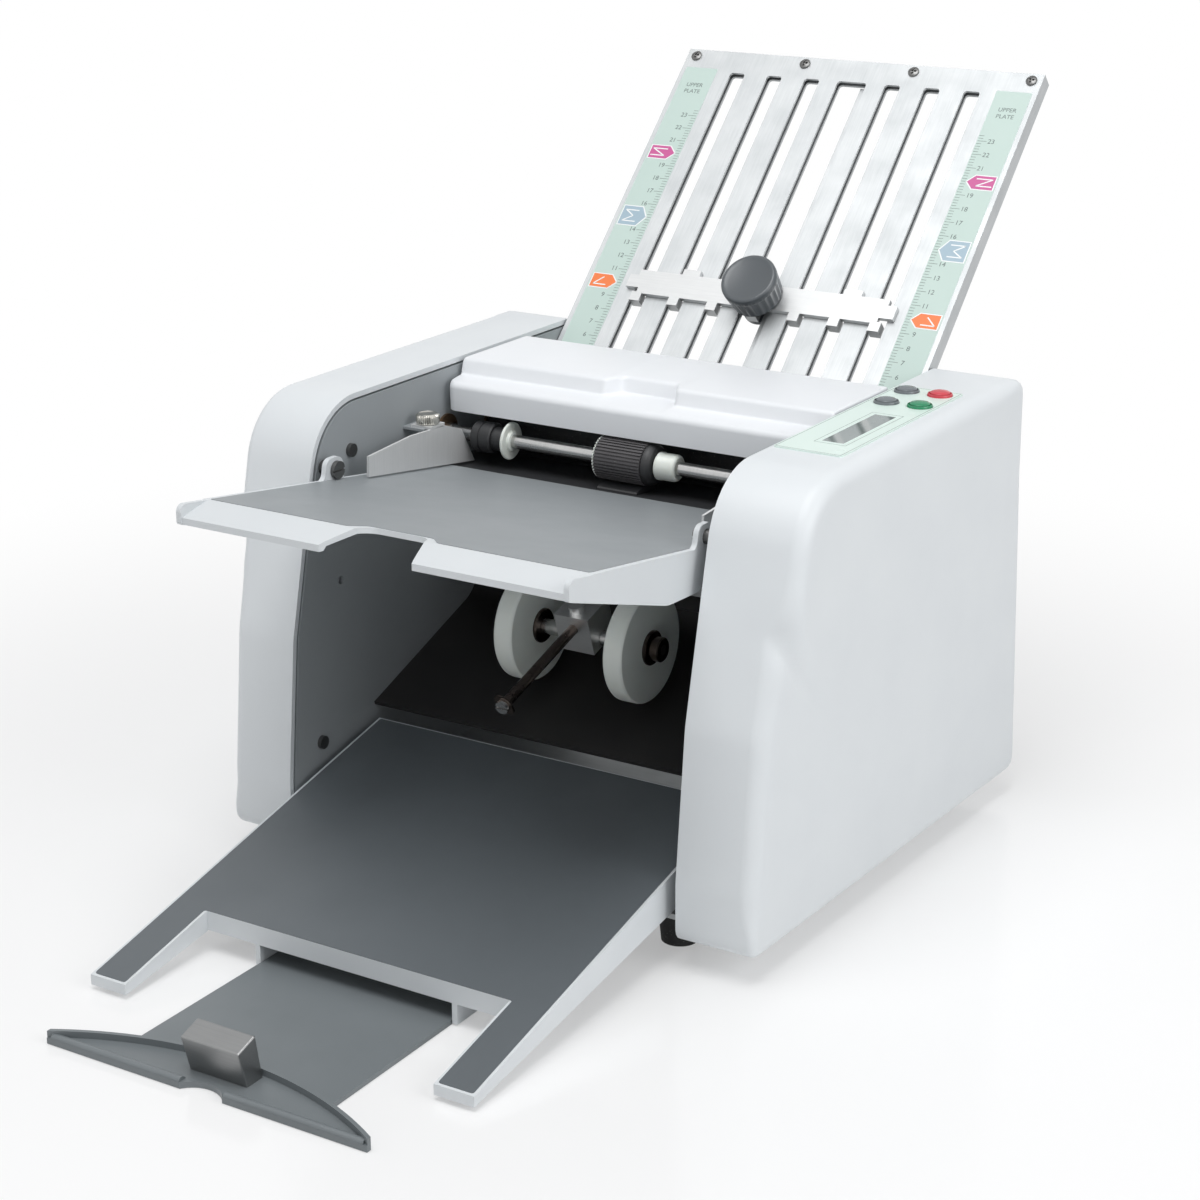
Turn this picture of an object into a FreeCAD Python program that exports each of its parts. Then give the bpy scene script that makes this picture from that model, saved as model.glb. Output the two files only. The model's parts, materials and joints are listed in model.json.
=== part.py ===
import FreeCAD
import Part
import Sketcher
import math
import os
import re

# A desk paper folding machine with a friction feed and two buckle plates.
# Millimetres. +Z is up, -Y is the side where folded sheets come out, X runs across the sheet.
# Every outline is drawn about the middle plane of the sheet path; shift_x and shift_y carry the
# whole machine so that the origin is the middle of the floor that it covers.
SIZES = {
    "shift_x": -3.75,
    "shift_y": 16.95,
    # side walls, covers and base
    "inner_wall": 123.9,
    "steel": 3.0,
    "cover_edge": 124.5,
    "left_side": 171.0,
    "right_side": 173.0,
    "swell": 5.5,
    "side_wall": 8.0,
    "cover_wall": 3.0,
    "frame_inset": 4.2,
    "foot_height": 20.0,
    "cover_top": 259.0,
    "front_foot": -125.5,
    "front_knee": -126.0,
    "knee_height": 50.0,
    "front_bend": -118.0,
    "bend_height": 132.0,
    "front_brow": -89.6,
    "brow_round": 42.0,
    "rear_top": 174.0,
    "rear_round": 9.0,
    "foot_round": 12.5,
    "cover_round": 12.0,
    "swell_round": 6.0,
    "rear_bend": 175.0,
    "rear_bend_height": 203.0,
    "rear_foot": 188.0,
    "base_front": -110.0,
    "base_rear": 176.0,
    "base_lip": 14.0,
    "spare_hole_y": -74.0,
    "spare_hole_z": 155.0,
    "spare_hole_radius": 2.5,
    "foot_radius": 12.0,
    "foot_taper": 2.0,
    "screw_radius": 2.0,
    "screw_head": 3.8,
    "screw_head_thick": 2.4,
    "screw_depth": 9.0,
    "boss_radius": 5.0,
    "swell_start": -46.0,
    "swell_end": 15.0,
    # running fit, gap between bodies, and how far a cut or a joined piece runs past a face
    "fit": 0.05,
    "gap": 0.3,
    "past": 1.0,
    # fold rollers and gears
    "drive_y": 87.9,
    "drive_z": 183.5,
    "tooth_module": 1.5,
    "tooth_count": 20,
    "upper_angle": 105.0,
    "rear_angle": -10.0,
    "lower_angle": -80.0,
    "roller_length": 236.0,
    "roller_nip": 0.2,
    "journal": 5.0,
    "journal_end": 129.5,
    "bush_radius": 8.0,
    "bush_flange": 10.0,
    "flange_thick": 1.5,
    "gear_start": 128.4,
    "gear_width": 8.0,
    "feed_pulley_radius": 12.0,
    "drive_pulley_radius": 18.0,
    "motor_pulley_radius": 9.0,
    "pulley_width": 8.0,
    "spacer_radius": 9.0,
    "feed_pulley_x": 137.0,
    "drive_pulley_x": 146.0,
    "press_on": 0.02,
    "belt_thick": 2.0,
    "belt_width": 6.0,
    "belt_slack": 0.15,
    "motor_y": 60.0,
    "motor_z": 60.0,
    "motor_radius": 30.0,
    "motor_length": 88.0,
    "motor_flange": 6.0,
    "motor_tail": 8.0,
    "tail_radius": 9.0,
    "rear_bar_y": 166.0,
    "rear_bar_z": 192.0,
    "rear_bar_radius": 6.0,
    # friction feed
    "separator_foot": 186.0,
    "feed_y": 31.0,
    "feed_z": 218.0,
    "feed_radius": 12.5,
    "feed_half_width": 15.0,
    "core_radius": 9.5,
    "shaft_radius": 4.0,
    "ribs": 40,
    "rib_height": 0.8,
    "rib_width": 1.0,
    "ring_width": 5.5,
    "sleeve_start": 101.5,
    "sleeve_step": 88.0,
    "sleeve_radius": 9.0,
    "disc_start": 79.5,
    "disc_end": 77.5,
    "disc_radius": 11.0,
    "slope": 8.3,
    "stack_y": -250.4,
    "stack_z": 242.1,
    "table_half": 118.0,
    "table_front": -194.5,
    "table_rear": 12.0,
    "table_nose": -216.0,
    "table_lip": 226.0,
    "plastic": 3.0,
    "pivot_y": -87.0,
    "pivot_z": 224.0,
    "pivot_radius": 4.0,
    "guide_x": 106.0,
    "guide_thick": 1.5,
    "guide_lift": 1.2,
    "thumb_x": 112.0,
    "thumb_y": -3.8,
    "lug_height": 228.6,
    "lug_inner": 109.2,
    "lug_half": 8.0,
    "thumb_head": 6.85,
    "thumb_head_high": 6.0,
    # fold plates
    "plate_half": 123.2,
    "sheet": 1.5,
    "upper_tilt": 44.8,
    "upper_y": 113.6,
    "upper_z": 210.7,
    "upper_start": -14.0,
    "upper_end": 282.5,
    "upper_flange": 10.0,
    "lower_flange": 8.0,
    "paper_gap": 2.5,
    "slot_start": 30.0,
    "slot_end": 266.0,
    "slot_step": 26.7,
    "slot_width": 10.5,
    "centre_slot": 20.0,
    "stop_low": 92.5,
    "stop_high": 109.5,
    "stop_half": 91.0,
    "stop_thick": 3.0,
    "hook": 5.5,
    "hook_half": 3.5,
    "knob_radius": 16.0,
    "knob_height": 22.0,
    "lower_tilt": -35.0,
    "lower_y": 113.0,
    "lower_z": 158.0,
    "lower_end": 176.0,
    "lower_stop": 96.0,
    "stud_radius": 3.0,
    "stud_length": 3.5,
    # top cover
    "hinge_y": 107.0,
    "hinge_z": 245.0,
    "hinge_radius": 3.0,
    "top_half": 121.5,
    "top_front": 27.3,
    "top_rear": 113.6,
    "top_low": 231.6,
    "tier_height": 249.0,
    "tier_step": 44.5,
    "grip_half": 18.0,
    # folded sheet delivery
    "rod_front_y": -98.8,
    "rod_front_z": 111.0,
    "rod_slope": 17.8,
    "rod_radius": 3.0,
    "rod_length": 138.0,
    "bar_y": 26.0,
    "bar_z": 147.0,
    "bar_side": 12.0,
    "block_start": 76.1,
    "block_depth": 23.0,
    "axle_along": 87.5,
    "axle_below": 11.3,
    "wheel_radius": 32.0,
    "wheel_width": 12.6,
    "wheel_x": 35.8,
    "hub_radius": 10.0,
    "exit_front": -300.0,
    "exit_rear": -50.0,
    "exit_low": 2.7,
    "exit_front_top": 8.5,
    "exit_rear_top": 65.2,
    "exit_half": 118.0,
    "arm_inner": 95.0,
    "notch_y": -235.0,
    "tongue_half": 60.0,
    "tongue_rear": -170.0,
    "stopper_front": -355.0,
    "stopper_apex": -326.0,
    "stopper_radius": 194.0,
    "stopper_thick": 3.2,
    "stopper_lip": 7.0,
    "stopper_lift": 0.3,
    # control panel
    "panel_start": 126.0,
    "panel_end": 165.5,
    "panel_front": -33.0,
    "panel_rear": 117.0,
    "panel_thick": 0.8,
    "window_left": 143.0,
    "window_right": 155.5,
    "window_front": -11.0,
    "window_rear": 51.5,
    "window_ledge": 1.0,
    "button_radius": 7.0,
    "button_rise": 3.0,
    "board_low": 238.0,
    "board_thick": 1.6,
    "board_end": 163.0,
    "switch_top": 241.4,
    "post_radius": 3.0,
    # mains inlet
    "inlet_left": 139.0,
    "inlet_right": 163.0,
    "inlet_low": 45.0,
    "inlet_high": 75.0,
    "inlet_depth": 24.0,
    "rocker_z": 68.0,
    "rocker_half": 6.9,
    "trunnion_half": 7.7,
    "trunnion_radius": 1.6,
}

BUTTONS = {
    "front_grey_button": (137.0, 78.0),
    "rear_grey_button": (136.0, 106.0),
    "green_button": (156.3, 79.6),
    "red_button": (155.5, 107.4),
}
FEET = ((-108.0, -92.0), (-108.0, 160.0), (108.0, -92.0), (108.0, 160.0))
COVER_SCREWS = ((-97.0, 65.0), (-62.0, 228.0), (138.0, 248.0), (168.0, 34.0))
BOARD_POSTS = ((131.0, -26.0), (158.0, -26.0), (131.0, 62.0), (158.0, 62.0))
PLATE_SCREWS = (-116.3, -37.4, 38.1, 116.3)
# Outlines that no other size sets: (across, up) and how far the corner is rounded.
SWELL_FRONT = (
    (-93.0, 249.0, 30.0),
    (-106.0, 200.0, 60.0),
    (-84.0, 140.0, 60.0),
    (-10.0, 83.0, 150.0),
)
CHUTE_SHEET = (
    (-46.0, 71.0),
    (8.6, 91.3),
    (60.0, 110.0, 20.0),
    (73.0, 156.0),
    (71.0, 156.6),
    (58.4, 112.0, 22.0),
    (7.9, 93.2),
    (-46.7, 72.9),
)
CHUTE_GUIDE = (
    (70.5, 174.0),
    (58.0, 164.0, 12.0),
    (40.0, 132.0),
    (38.3, 133.0),
    (56.3, 165.3, 14.0),
    (69.3, 175.6),
)
ROCKER = (
    (-3.5, -3.8),
    (4.0, -4.8),
    (4.9, -4.6),
    (4.1, 0.0),
    (5.8, 4.6),
    (4.0, 4.8),
    (-3.5, 3.8),
)

PITCH = "tooth_module * tooth_count"
ROLLERS = {
    "drive": ("drive_y", "drive_z"),
    "upper": (f"drive_y + {PITCH} * cos(upper_angle)", f"drive_z + {PITCH} * sin(upper_angle)"),
    "rear": (f"drive_y + {PITCH} * cos(rear_angle)", f"drive_z + {PITCH} * sin(rear_angle)"),
    "lower": (f"drive_y + {PITCH} * cos(lower_angle)", f"drive_z + {PITCH} * sin(lower_angle)"),
}
TABLE_SURFACE = "(stack_z - ({y} - stack_y) * tan(slope))"

document = FreeCAD.newDocument("PaperFolder")
sheet = document.addObject("Spreadsheet::Sheet", "Sizes")
for row, (name, size) in enumerate(SIZES.items(), start=1):
    sheet.set(f"A{row}", name)
    sheet.set(f"B{row}", str(size))
    sheet.setAlias(f"B{row}", name)
document.recompute()
sub_parts = []


# ---------------------------------------------------------------- helpers

def bound(expression):
    """The expression with every size's name pointed at its cell in the sheet."""
    def cell(match):
        word = match.group()
        return f"Sizes.{word}" if word in SIZES else word
    return re.sub(r"[a-z][a-z_]*[a-z]", cell, str(expression))


def value(expression):
    """The expression as a number."""
    found = sheet.evalExpression(bound(expression))
    return float(getattr(found, "Value", found))


def place(part, x="0", y="0", z="0", axis=(1, 0, 0), angle="0"):
    """Puts a part where the expressions say, turned by angle about axis."""
    turn = FreeCAD.Rotation(FreeCAD.Vector(*axis), value(angle))
    part.Placement = FreeCAD.Placement(FreeCAD.Vector(0, 0, 0), turn)
    part.setExpression("Placement.Base.x", bound(f"shift_x + ({x})"))
    part.setExpression("Placement.Base.y", bound(f"shift_y + ({y})"))
    part.setExpression("Placement.Base.z", bound(z))
    if value(angle) != 0:
        part.setExpression("Placement.Rotation.Angle", bound(f"abs({angle})"))
    return part


def sub_part(part, label):
    part.Label = label
    sub_parts.append(part)
    return part


def bare_body(**where):
    return place(document.addObject("PartDesign::Body", "Body"), **where)


def new_body(label, **where):
    return sub_part(bare_body(**where), label)


def origin_feature(body, role):
    return [part for part in body.Origin.OriginFeatures if part.Role == role][0]


def pin_point(sketch, geometry, point, across, up):
    """Holds a point of a sketch at two expressions."""
    for kind, expression in (("DistanceX", across), ("DistanceY", up)):
        index = sketch.addConstraint(
            Sketcher.Constraint(kind, -1, 1, geometry, point, value(expression)))
        sketch.setExpression(f"Constraints[{index}]", bound(expression))


def hold_radius(sketch, geometry, expression):
    index = sketch.addConstraint(Sketcher.Constraint("Radius", geometry, value(expression)))
    sketch.setExpression(f"Constraints[{index}]", bound(expression))


def corner_arc(before, corner, after, radius):
    """The arc that rounds a corner: its start, middle and end points."""
    back = (before - corner).normalize()
    ahead = (after - corner).normalize()
    half = back.getAngle(ahead) / 2
    middle = (back + ahead).normalize()
    centre = corner + middle * (radius / math.sin(half))
    reach = radius / math.tan(half)
    return corner + back * reach, centre - middle * radius, corner + ahead * reach


def draw_loop(sketch, corners):
    """A closed loop; each corner is (across, up) or (across, up, rounding)."""
    count = len(corners)
    spots = [FreeCAD.Vector(value(corner[0]), value(corner[1]), 0) for corner in corners]
    arcs = {}
    for index, corner in enumerate(corners):
        if len(corner) == 3:
            arcs[index] = corner_arc(
                spots[index - 1], spots[index], spots[(index + 1) % count], value(corner[2]))
    lines = []
    for index in range(count):
        after = (index + 1) % count
        start = arcs[index][2] if index in arcs else spots[index]
        end = arcs[after][0] if after in arcs else spots[after]
        lines.append(sketch.addGeometry(Part.LineSegment(start, end)))
    for index, corner in enumerate(corners):
        before = lines[index - 1]
        if index not in arcs:
            sketch.addConstraint(Sketcher.Constraint("Coincident", before, 2, lines[index], 1))
            pin_point(sketch, lines[index], 1, corner[0], corner[1])
            continue
        arc = sketch.addGeometry(Part.Arc(*arcs[index]))
        tip = sketch.addGeometry(Part.Point(spots[index]), True)
        first = 1 if sketch.getPoint(arc, 1).distanceToPoint(arcs[index][0]) < 0.001 else 2
        pin_point(sketch, tip, 1, corner[0], corner[1])
        sketch.addConstraint(Sketcher.Constraint("PointOnObject", tip, 1, before))
        sketch.addConstraint(Sketcher.Constraint("PointOnObject", tip, 1, lines[index]))
        sketch.addConstraint(Sketcher.Constraint("Tangent", before, 2, arc, first))
        sketch.addConstraint(Sketcher.Constraint("Tangent", arc, 3 - first, lines[index], 1))
        hold_radius(sketch, arc, corner[2])


def new_sketch(body, plane, offset, loops=(), circles=()):
    sketch = body.newObject("Sketcher::SketchObject", "Sketch")
    sketch.AttachmentSupport = [(origin_feature(body, plane), "")]
    sketch.MapMode = "FlatFace"
    sketch.setExpression("AttachmentOffset.Base.z", bound(offset))
    for corners in loops:
        draw_loop(sketch, corners)
    for across, up, radius in circles:
        middle = FreeCAD.Vector(value(across), value(up), 0)
        ring = sketch.addGeometry(
            Part.Circle(middle, FreeCAD.Vector(0, 0, 1), value(radius)))
        pin_point(sketch, ring, 3, across, up)
        hold_radius(sketch, ring, radius)
    return sketch


def extrude(body, plane, low, high, loops=(), circles=()):
    """Adds material between two heights over one of the body's planes."""
    offset = f"-({high})" if plane == "XZ_Plane" else low
    sketch = new_sketch(body, plane, offset, loops, circles)
    pad = body.newObject("PartDesign::Pad", "Pad")
    pad.Profile = sketch
    pad.setExpression("Length", bound(f"({high}) - ({low})"))
    document.recompute()
    return pad


def cut(body, plane, low, high, loops=(), circles=()):
    """Takes material away between two heights over one of the body's planes."""
    before = body.Shape.Volume
    offset = f"-({low})" if plane == "XZ_Plane" else high
    sketch = new_sketch(body, plane, offset, loops, circles)
    pocket = body.newObject("PartDesign::Pocket", "Pocket")
    pocket.Profile = sketch
    pocket.setExpression("Length", bound(f"({high}) - ({low})"))
    document.recompute()
    if body.Shape.Volume > before - 0.01:
        raise RuntimeError(f"a pocket of {body.Label} cuts nothing")
    return pocket


def revolve(body, plane, axis, corners):
    """Turns a loop about one of the body's own axes."""
    turned = body.newObject("PartDesign::Revolution", "Revolution")
    turned.Profile = new_sketch(body, plane, "0", [corners])
    turned.ReferenceAxis = (origin_feature(body, axis), [""])
    turned.Angle = 360
    document.recompute()
    return turned


def round_edges(body, feature, radius, chosen):
    """Rounds the edges of a feature whose middle passes the test."""
    names = []
    for index, edge in enumerate(feature.Shape.Edges, start=1):
        if chosen(edge.CenterOfMass):
            names.append(f"Edge{index}")
    if not names:
        raise RuntimeError(f"no edge of {body.Label} to round")
    fillet = body.newObject("PartDesign::Fillet", "Fillet")
    fillet.Base = (feature, names)
    fillet.setExpression("Radius", bound(radius))
    document.recompute()
    return fillet


def rectangle(left, low, right, high, rounding=None):
    spots = [(left, low), (right, low), (right, high), (left, high)]
    return [spot + (rounding,) for spot in spots] if rounding else spots


def stepped(stations):
    """The half profile of a turned bar: pairs of (end position, radius) after the start."""
    corners = [(stations[0], "0")]
    here = stations[0]
    for end, radius in stations[1:]:
        corners.append((here, radius))
        corners.append((end, radius))
        here = end
    corners.append((here, "0"))
    return corners


def primitive(kind, sizes, x="0", y="0", z="0", axis=(1, 0, 0), angle="0"):
    part = document.addObject(f"Part::{kind}", kind)
    for name, expression in sizes.items():
        part.setExpression(name, bound(expression))
    return place(part, x, y, z, axis, angle)


def box(x_low, x_high, y_low, y_high, z_low, z_high):
    sizes = {
        "Length": f"({x_high}) - ({x_low})",
        "Width": f"({y_high}) - ({y_low})",
        "Height": f"({z_high}) - ({z_low})",
    }
    return primitive("Box", sizes, x_low, y_low, z_low)


def cross_rod(radius, x_low, x_high, y, z):
    sizes = {"Radius": radius, "Height": f"({x_high}) - ({x_low})"}
    return primitive("Cylinder", sizes, x_low, y, z, (0, 1, 0), "90")


def upright(radius, x, y, z_low, z_high):
    sizes = {"Radius": radius, "Height": f"({z_high}) - ({z_low})"}
    return primitive("Cylinder", sizes, x, y, z_low)


def fused(parts):
    joined = document.addObject("Part::MultiFuse", "Fused")
    joined.Shapes = parts
    return joined


def less(whole, tool):
    taken = document.addObject("Part::Cut", "Less")
    taken.Base = whole
    taken.Tool = tool
    return taken


def grouped(parts, label):
    group = document.addObject("Part::Compound", "Group")
    group.Links = parts
    return sub_part(group, label)


def along_x(side, near, far):
    """The two ends, low first, of a stretch that is near..far from the middle on one side."""
    return (near, far) if side > 0 else (f"-({far})", f"-({near})")


def upper_spot(along, off):
    """Where a point of the upper fold plate lies in the machine."""
    return (f"upper_y + ({along}) * cos(upper_tilt) - ({off}) * sin(upper_tilt)",
            f"upper_z + ({along}) * sin(upper_tilt) + ({off}) * cos(upper_tilt)")


def lower_spot(along, off):
    """Where a point of the lower fold plate lies in the machine."""
    return (f"lower_y + ({along}) * cos(lower_tilt) - ({off}) * sin(lower_tilt)",
            f"lower_z + ({along}) * sin(lower_tilt) + ({off}) * cos(lower_tilt)")


def rod_spot(along, off):
    """Where a point beside the press rod lies in the machine."""
    return (f"rod_front_y + ({along}) * cos(rod_slope) - ({off}) * sin(rod_slope)",
            f"rod_front_z + ({along}) * sin(rod_slope) + ({off}) * cos(rod_slope)")


# ---------------------------------------------------------------- frame, base and covers

def side_outline(inset):
    """The side view that frames, covers and their hollows share, drawn in by inset."""
    return [
        (f"front_foot + {inset}", "foot_height", f"foot_round - {inset}"),
        (f"front_knee + {inset}", "knee_height"),
        (f"front_bend + {inset}", "bend_height"),
        (f"front_brow + {inset}", f"cover_top - {inset}", f"brow_round - {inset}"),
        (f"rear_top - {inset}", f"cover_top - {inset}", f"rear_round - {inset}"),
        (f"rear_bend - {inset}", "rear_bend_height"),
        (f"rear_foot - {inset}", "foot_height", f"foot_round - {inset}"),
    ]


def stud_spots():
    """The studs that carry the two fold plates, clear of their flanges by the gap."""
    under_upper = "-(upper_flange + gap + stud_radius)"
    over_upper = "gap + stud_radius"
    under_lower = "-(lower_flange + gap + stud_radius)"
    over_lower = "paper_gap / 2 + sheet + gap + stud_radius"
    return [
        upper_spot("5", under_upper),
        upper_spot("45", under_upper),
        upper_spot("25", over_upper),
        upper_spot("upper_start - gap - stud_radius", "-upper_flange / 2"),
        lower_spot("20", under_lower),
        lower_spot("60", under_lower),
        lower_spot("40", over_lower),
    ]


def make_side_frame(label, side):
    body = new_body(label)
    low, high = along_x(side, "inner_wall", "inner_wall + steel")
    holes = [(y, z, "bush_radius + fit") for y, z in ROLLERS.values()]
    holes.append(("feed_y", "feed_z", "bush_radius + fit"))
    holes.append(("pivot_y", "pivot_z", "pivot_radius + fit"))
    holes.extend((y, z, "screw_radius + fit") for y, z in COVER_SCREWS)
    holes.append(("spare_hole_y", "spare_hole_z", "spare_hole_radius"))
    if side > 0:
        holes.append(("motor_y", "motor_z", "shaft_radius + 2"))
    extrude(body, "YZ_Plane", low, high, [side_outline("frame_inset")], holes)
    low, high = along_x(side, "inner_wall - stud_length", "inner_wall")
    for y, z in stud_spots():
        extrude(body, "YZ_Plane", low, high, circles=[(y, z, "stud_radius")])
    near, far = along_x(side, "lug_inner", "inner_wall")
    lug = rectangle(near, "thumb_y - lug_half", far, "thumb_y + lug_half")
    hole = (f"{side} * thumb_x", "thumb_y", "screw_radius + fit")
    extrude(body, "XY_Plane", "lug_height", "lug_height + sheet", [lug], [hole])


def make_cover(label, side, outer):
    body = new_body(label)
    low, high = along_x(side, "cover_edge", outer)
    shell = extrude(body, "YZ_Plane", low, high, [side_outline("0")])
    face = value(f"{side} * {outer}")
    floor = value("foot_height") + 0.1
    round_edges(body, shell, "cover_round",
                lambda spot: abs(spot.x - face) < 0.01 and spot.z > floor)
    if side > 0:
        add_swell(body)
    low, high = along_x(side, "cover_edge - past", f"{outer} - side_wall")
    hollow = side_outline("cover_wall")
    for corner in (0, -1):
        hollow[corner] = (hollow[corner][0], "foot_height + cover_wall", hollow[corner][2])
    cut(body, "YZ_Plane", low, high, [hollow])
    low, high = along_x(side, "cover_edge - past", "inner_wall + steel + gap")
    cut(body, "YZ_Plane", low, high, [rectangle(
        "front_foot + cover_wall", "foot_height - past", "rear_foot - cover_wall",
        "foot_height + foot_round")])
    low, high = along_x(side, "inner_wall + steel", f"{outer} - side_wall + past")
    for y, z in COVER_SCREWS:
        extrude(body, "YZ_Plane", low, high, circles=[(y, z, "boss_radius")])
    low, high = along_x(side, "inner_wall + steel", "inner_wall + steel + screw_depth")
    cut(body, "YZ_Plane", low, high,
        circles=[(y, z, "screw_radius + fit") for y, z in COVER_SCREWS])
    return body


def add_swell(body):
    """The upright field that stands proud of the side and sweeps to the rear foot."""
    rear_slope = "(rear_foot - rear_bend) / (rear_bend_height - foot_height)"
    swell = [
        ("swell_start", "cover_top"),
        *SWELL_FRONT,
        (f"rear_foot - swell_end * {rear_slope}", "foot_height + swell_end"),
        ("rear_bend", "rear_bend_height"),
        ("rear_top", "cover_top", "rear_round"),
    ]
    field = extrude(body, "YZ_Plane", "right_side - cover_round", "right_side + swell", [swell])
    face = value("right_side + swell")
    round_edges(body, field, "swell_round", lambda spot: abs(spot.x - face) < 0.01)


def window_outline(inset):
    return rectangle(f"window_left + {inset}", f"window_front + {inset}",
                     f"window_right - {inset}", f"window_rear - {inset}")


def make_covers():
    make_cover("left_cover", -1, "left_side")
    body = make_cover("right_cover", 1, "right_side")
    cut(body, "XY_Plane", "cover_top - cover_wall - past", "cover_top + past",
        [window_outline("window_ledge")],
        [(x, y, "button_radius + gap") for x, y in BUTTONS.values()])
    for x, y in BOARD_POSTS:
        extrude(body, "XY_Plane", "board_low + board_thick", "cover_top - cover_wall / 2",
                circles=[(x, y, "post_radius")])
    opening = rectangle("inlet_left - fit", "inlet_low - fit", "inlet_right + fit",
                        "inlet_high + fit")
    cut(body, "XZ_Plane", "rear_foot - inlet_depth / 2", "rear_foot + past", [opening])


def make_base():
    body = new_body("base_plate")
    plate = rectangle("-inner_wall", "base_front", "inner_wall", "base_rear")
    extrude(body, "XY_Plane", "foot_height", "foot_height + steel", [plate])
    rear_lip = rectangle("-inner_wall", "base_rear - steel", "inner_wall", "base_rear")
    extrude(body, "XY_Plane", "foot_height + steel - past", "foot_height + base_lip", [rear_lip])


def make_feet():
    sizes = {"Radius1": "foot_radius - foot_taper", "Radius2": "foot_radius",
             "Height": "foot_height"}
    grouped([primitive("Cone", sizes, x, y) for x, y in FEET], "rubber_feet")


def make_tie_bars():
    ends = ("-inner_wall", "inner_wall")
    press_bar = box(*ends, "bar_y", "bar_y + bar_side", "bar_z", "bar_z + bar_side")
    y, z = rod_spot("rod_length - 25", "0")
    sizes = {"Radius": "rod_radius + fit", "Height": "60"}
    bore = primitive("Cylinder", sizes, "0", y, z, (-1, 0, 0), "90 - rod_slope")
    bars = [
        cross_rod("hinge_radius", *ends, "hinge_y", "hinge_z"),
        less(press_bar, bore),
        box(*ends, "feed_y - 5", "feed_y + 5", "separator_foot - 10", "separator_foot"),
        cross_rod("rear_bar_radius", *ends, "rear_bar_y", "rear_bar_z"),
    ]
    grouped(bars, "tie_bars")


def make_frame_screws():
    screws = []
    for side in (-1, 1):
        for y, z in COVER_SCREWS:
            head = along_x(side, "inner_wall - screw_head_thick", "inner_wall")
            shank = along_x(side, "inner_wall - past", "inner_wall + steel + screw_depth - past")
            screws.append(fused([
                cross_rod("screw_head", *head, y, z),
                cross_rod("screw_radius", *shank, y, z),
            ]))
        head = along_x(side, "112.4", "table_half - plastic - gap")
        shank = along_x(side, "113", "inner_wall + steel")
        slot = along_x(side, "111.9", "113.4")
        screws.append(less(
            fused([cross_rod("pivot_radius + 1", *head, "pivot_y", "pivot_z"),
                   cross_rod("pivot_radius", *shank, "pivot_y", "pivot_z")]),
            box(*slot, "pivot_y - 7", "pivot_y + 7", "pivot_z - 0.6", "pivot_z + 0.6")))
    grouped(screws, "frame_screws")


# ---------------------------------------------------------------- rollers, gears and drive

def make_roller(name):
    y, z = ROLLERS[name]
    ends = {"drive": "drive_pulley_x + pulley_width + past",
            "upper": "feed_pulley_x + pulley_width"}
    body = new_body(f"{name}_roller", y=y, z=z)
    surface = f"{PITCH} / 2 - roller_nip"
    revolve(body, "XY_Plane", "X_Axis", stepped([
        "-journal_end", ("-roller_length / 2", "journal"), ("roller_length / 2", surface),
        (ends.get(name, "feed_pulley_x"), "journal")]))


def make_gear(name, phase):
    """A spur gear with straight-flanked teeth; the first tooth stands at the phase angle."""
    y, z = ROLLERS[name]
    body = new_body(f"{name}_gear", y=y, z=z)
    end = "gear_start + gear_width"
    bore = ("0", "0", "journal + press_on")
    root = f"{PITCH} / 2 - 1.25 * tooth_module"
    extrude(body, "YZ_Plane", "gear_start", end, circles=[("0", "0", root), bore])
    flank = [
        (f"{root} - 0.6", "-1.34 * tooth_module"),
        (f"{root} + 0.3", "-1.10 * tooth_module"),
        (f"{PITCH} / 2", "-0.70 * tooth_module"),
        (f"{PITCH} / 2 + 0.93 * tooth_module", "-0.28 * tooth_module"),
    ]
    tooth_loop = flank + [(reach, f"-({across})") for reach, across in reversed(flank)]
    tooth = extrude(body, "YZ_Plane", "gear_start", end, [tooth_loop])
    turned = tooth.Profile[0]
    turned.AttachmentOffset = FreeCAD.Placement(
        turned.AttachmentOffset.Base, FreeCAD.Rotation(FreeCAD.Vector(0, 0, 1), value(phase)))
    turned.setExpression("AttachmentOffset.Rotation.Angle", bound(phase))
    ring = body.newObject("PartDesign::PolarPattern", "PolarPattern")
    ring.Originals = [tooth]
    ring.Axis = (origin_feature(body, "X_Axis"), [""])
    ring.Angle = 360
    ring.setExpression("Occurrences", bound("tooth_count"))
    body.Tip = ring
    document.recompute()
    if name == "upper":
        extrude(body, "YZ_Plane", end, "feed_pulley_x + pulley_width",
                circles=[("0", "0", "feed_pulley_radius"), bore])
    if name == "drive":
        extrude(body, "YZ_Plane", end, "drive_pulley_x",
                circles=[("0", "0", "spacer_radius"), bore])
        extrude(body, "YZ_Plane", "drive_pulley_x", "drive_pulley_x + pulley_width",
                circles=[("0", "0", "drive_pulley_radius"), bore])


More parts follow.
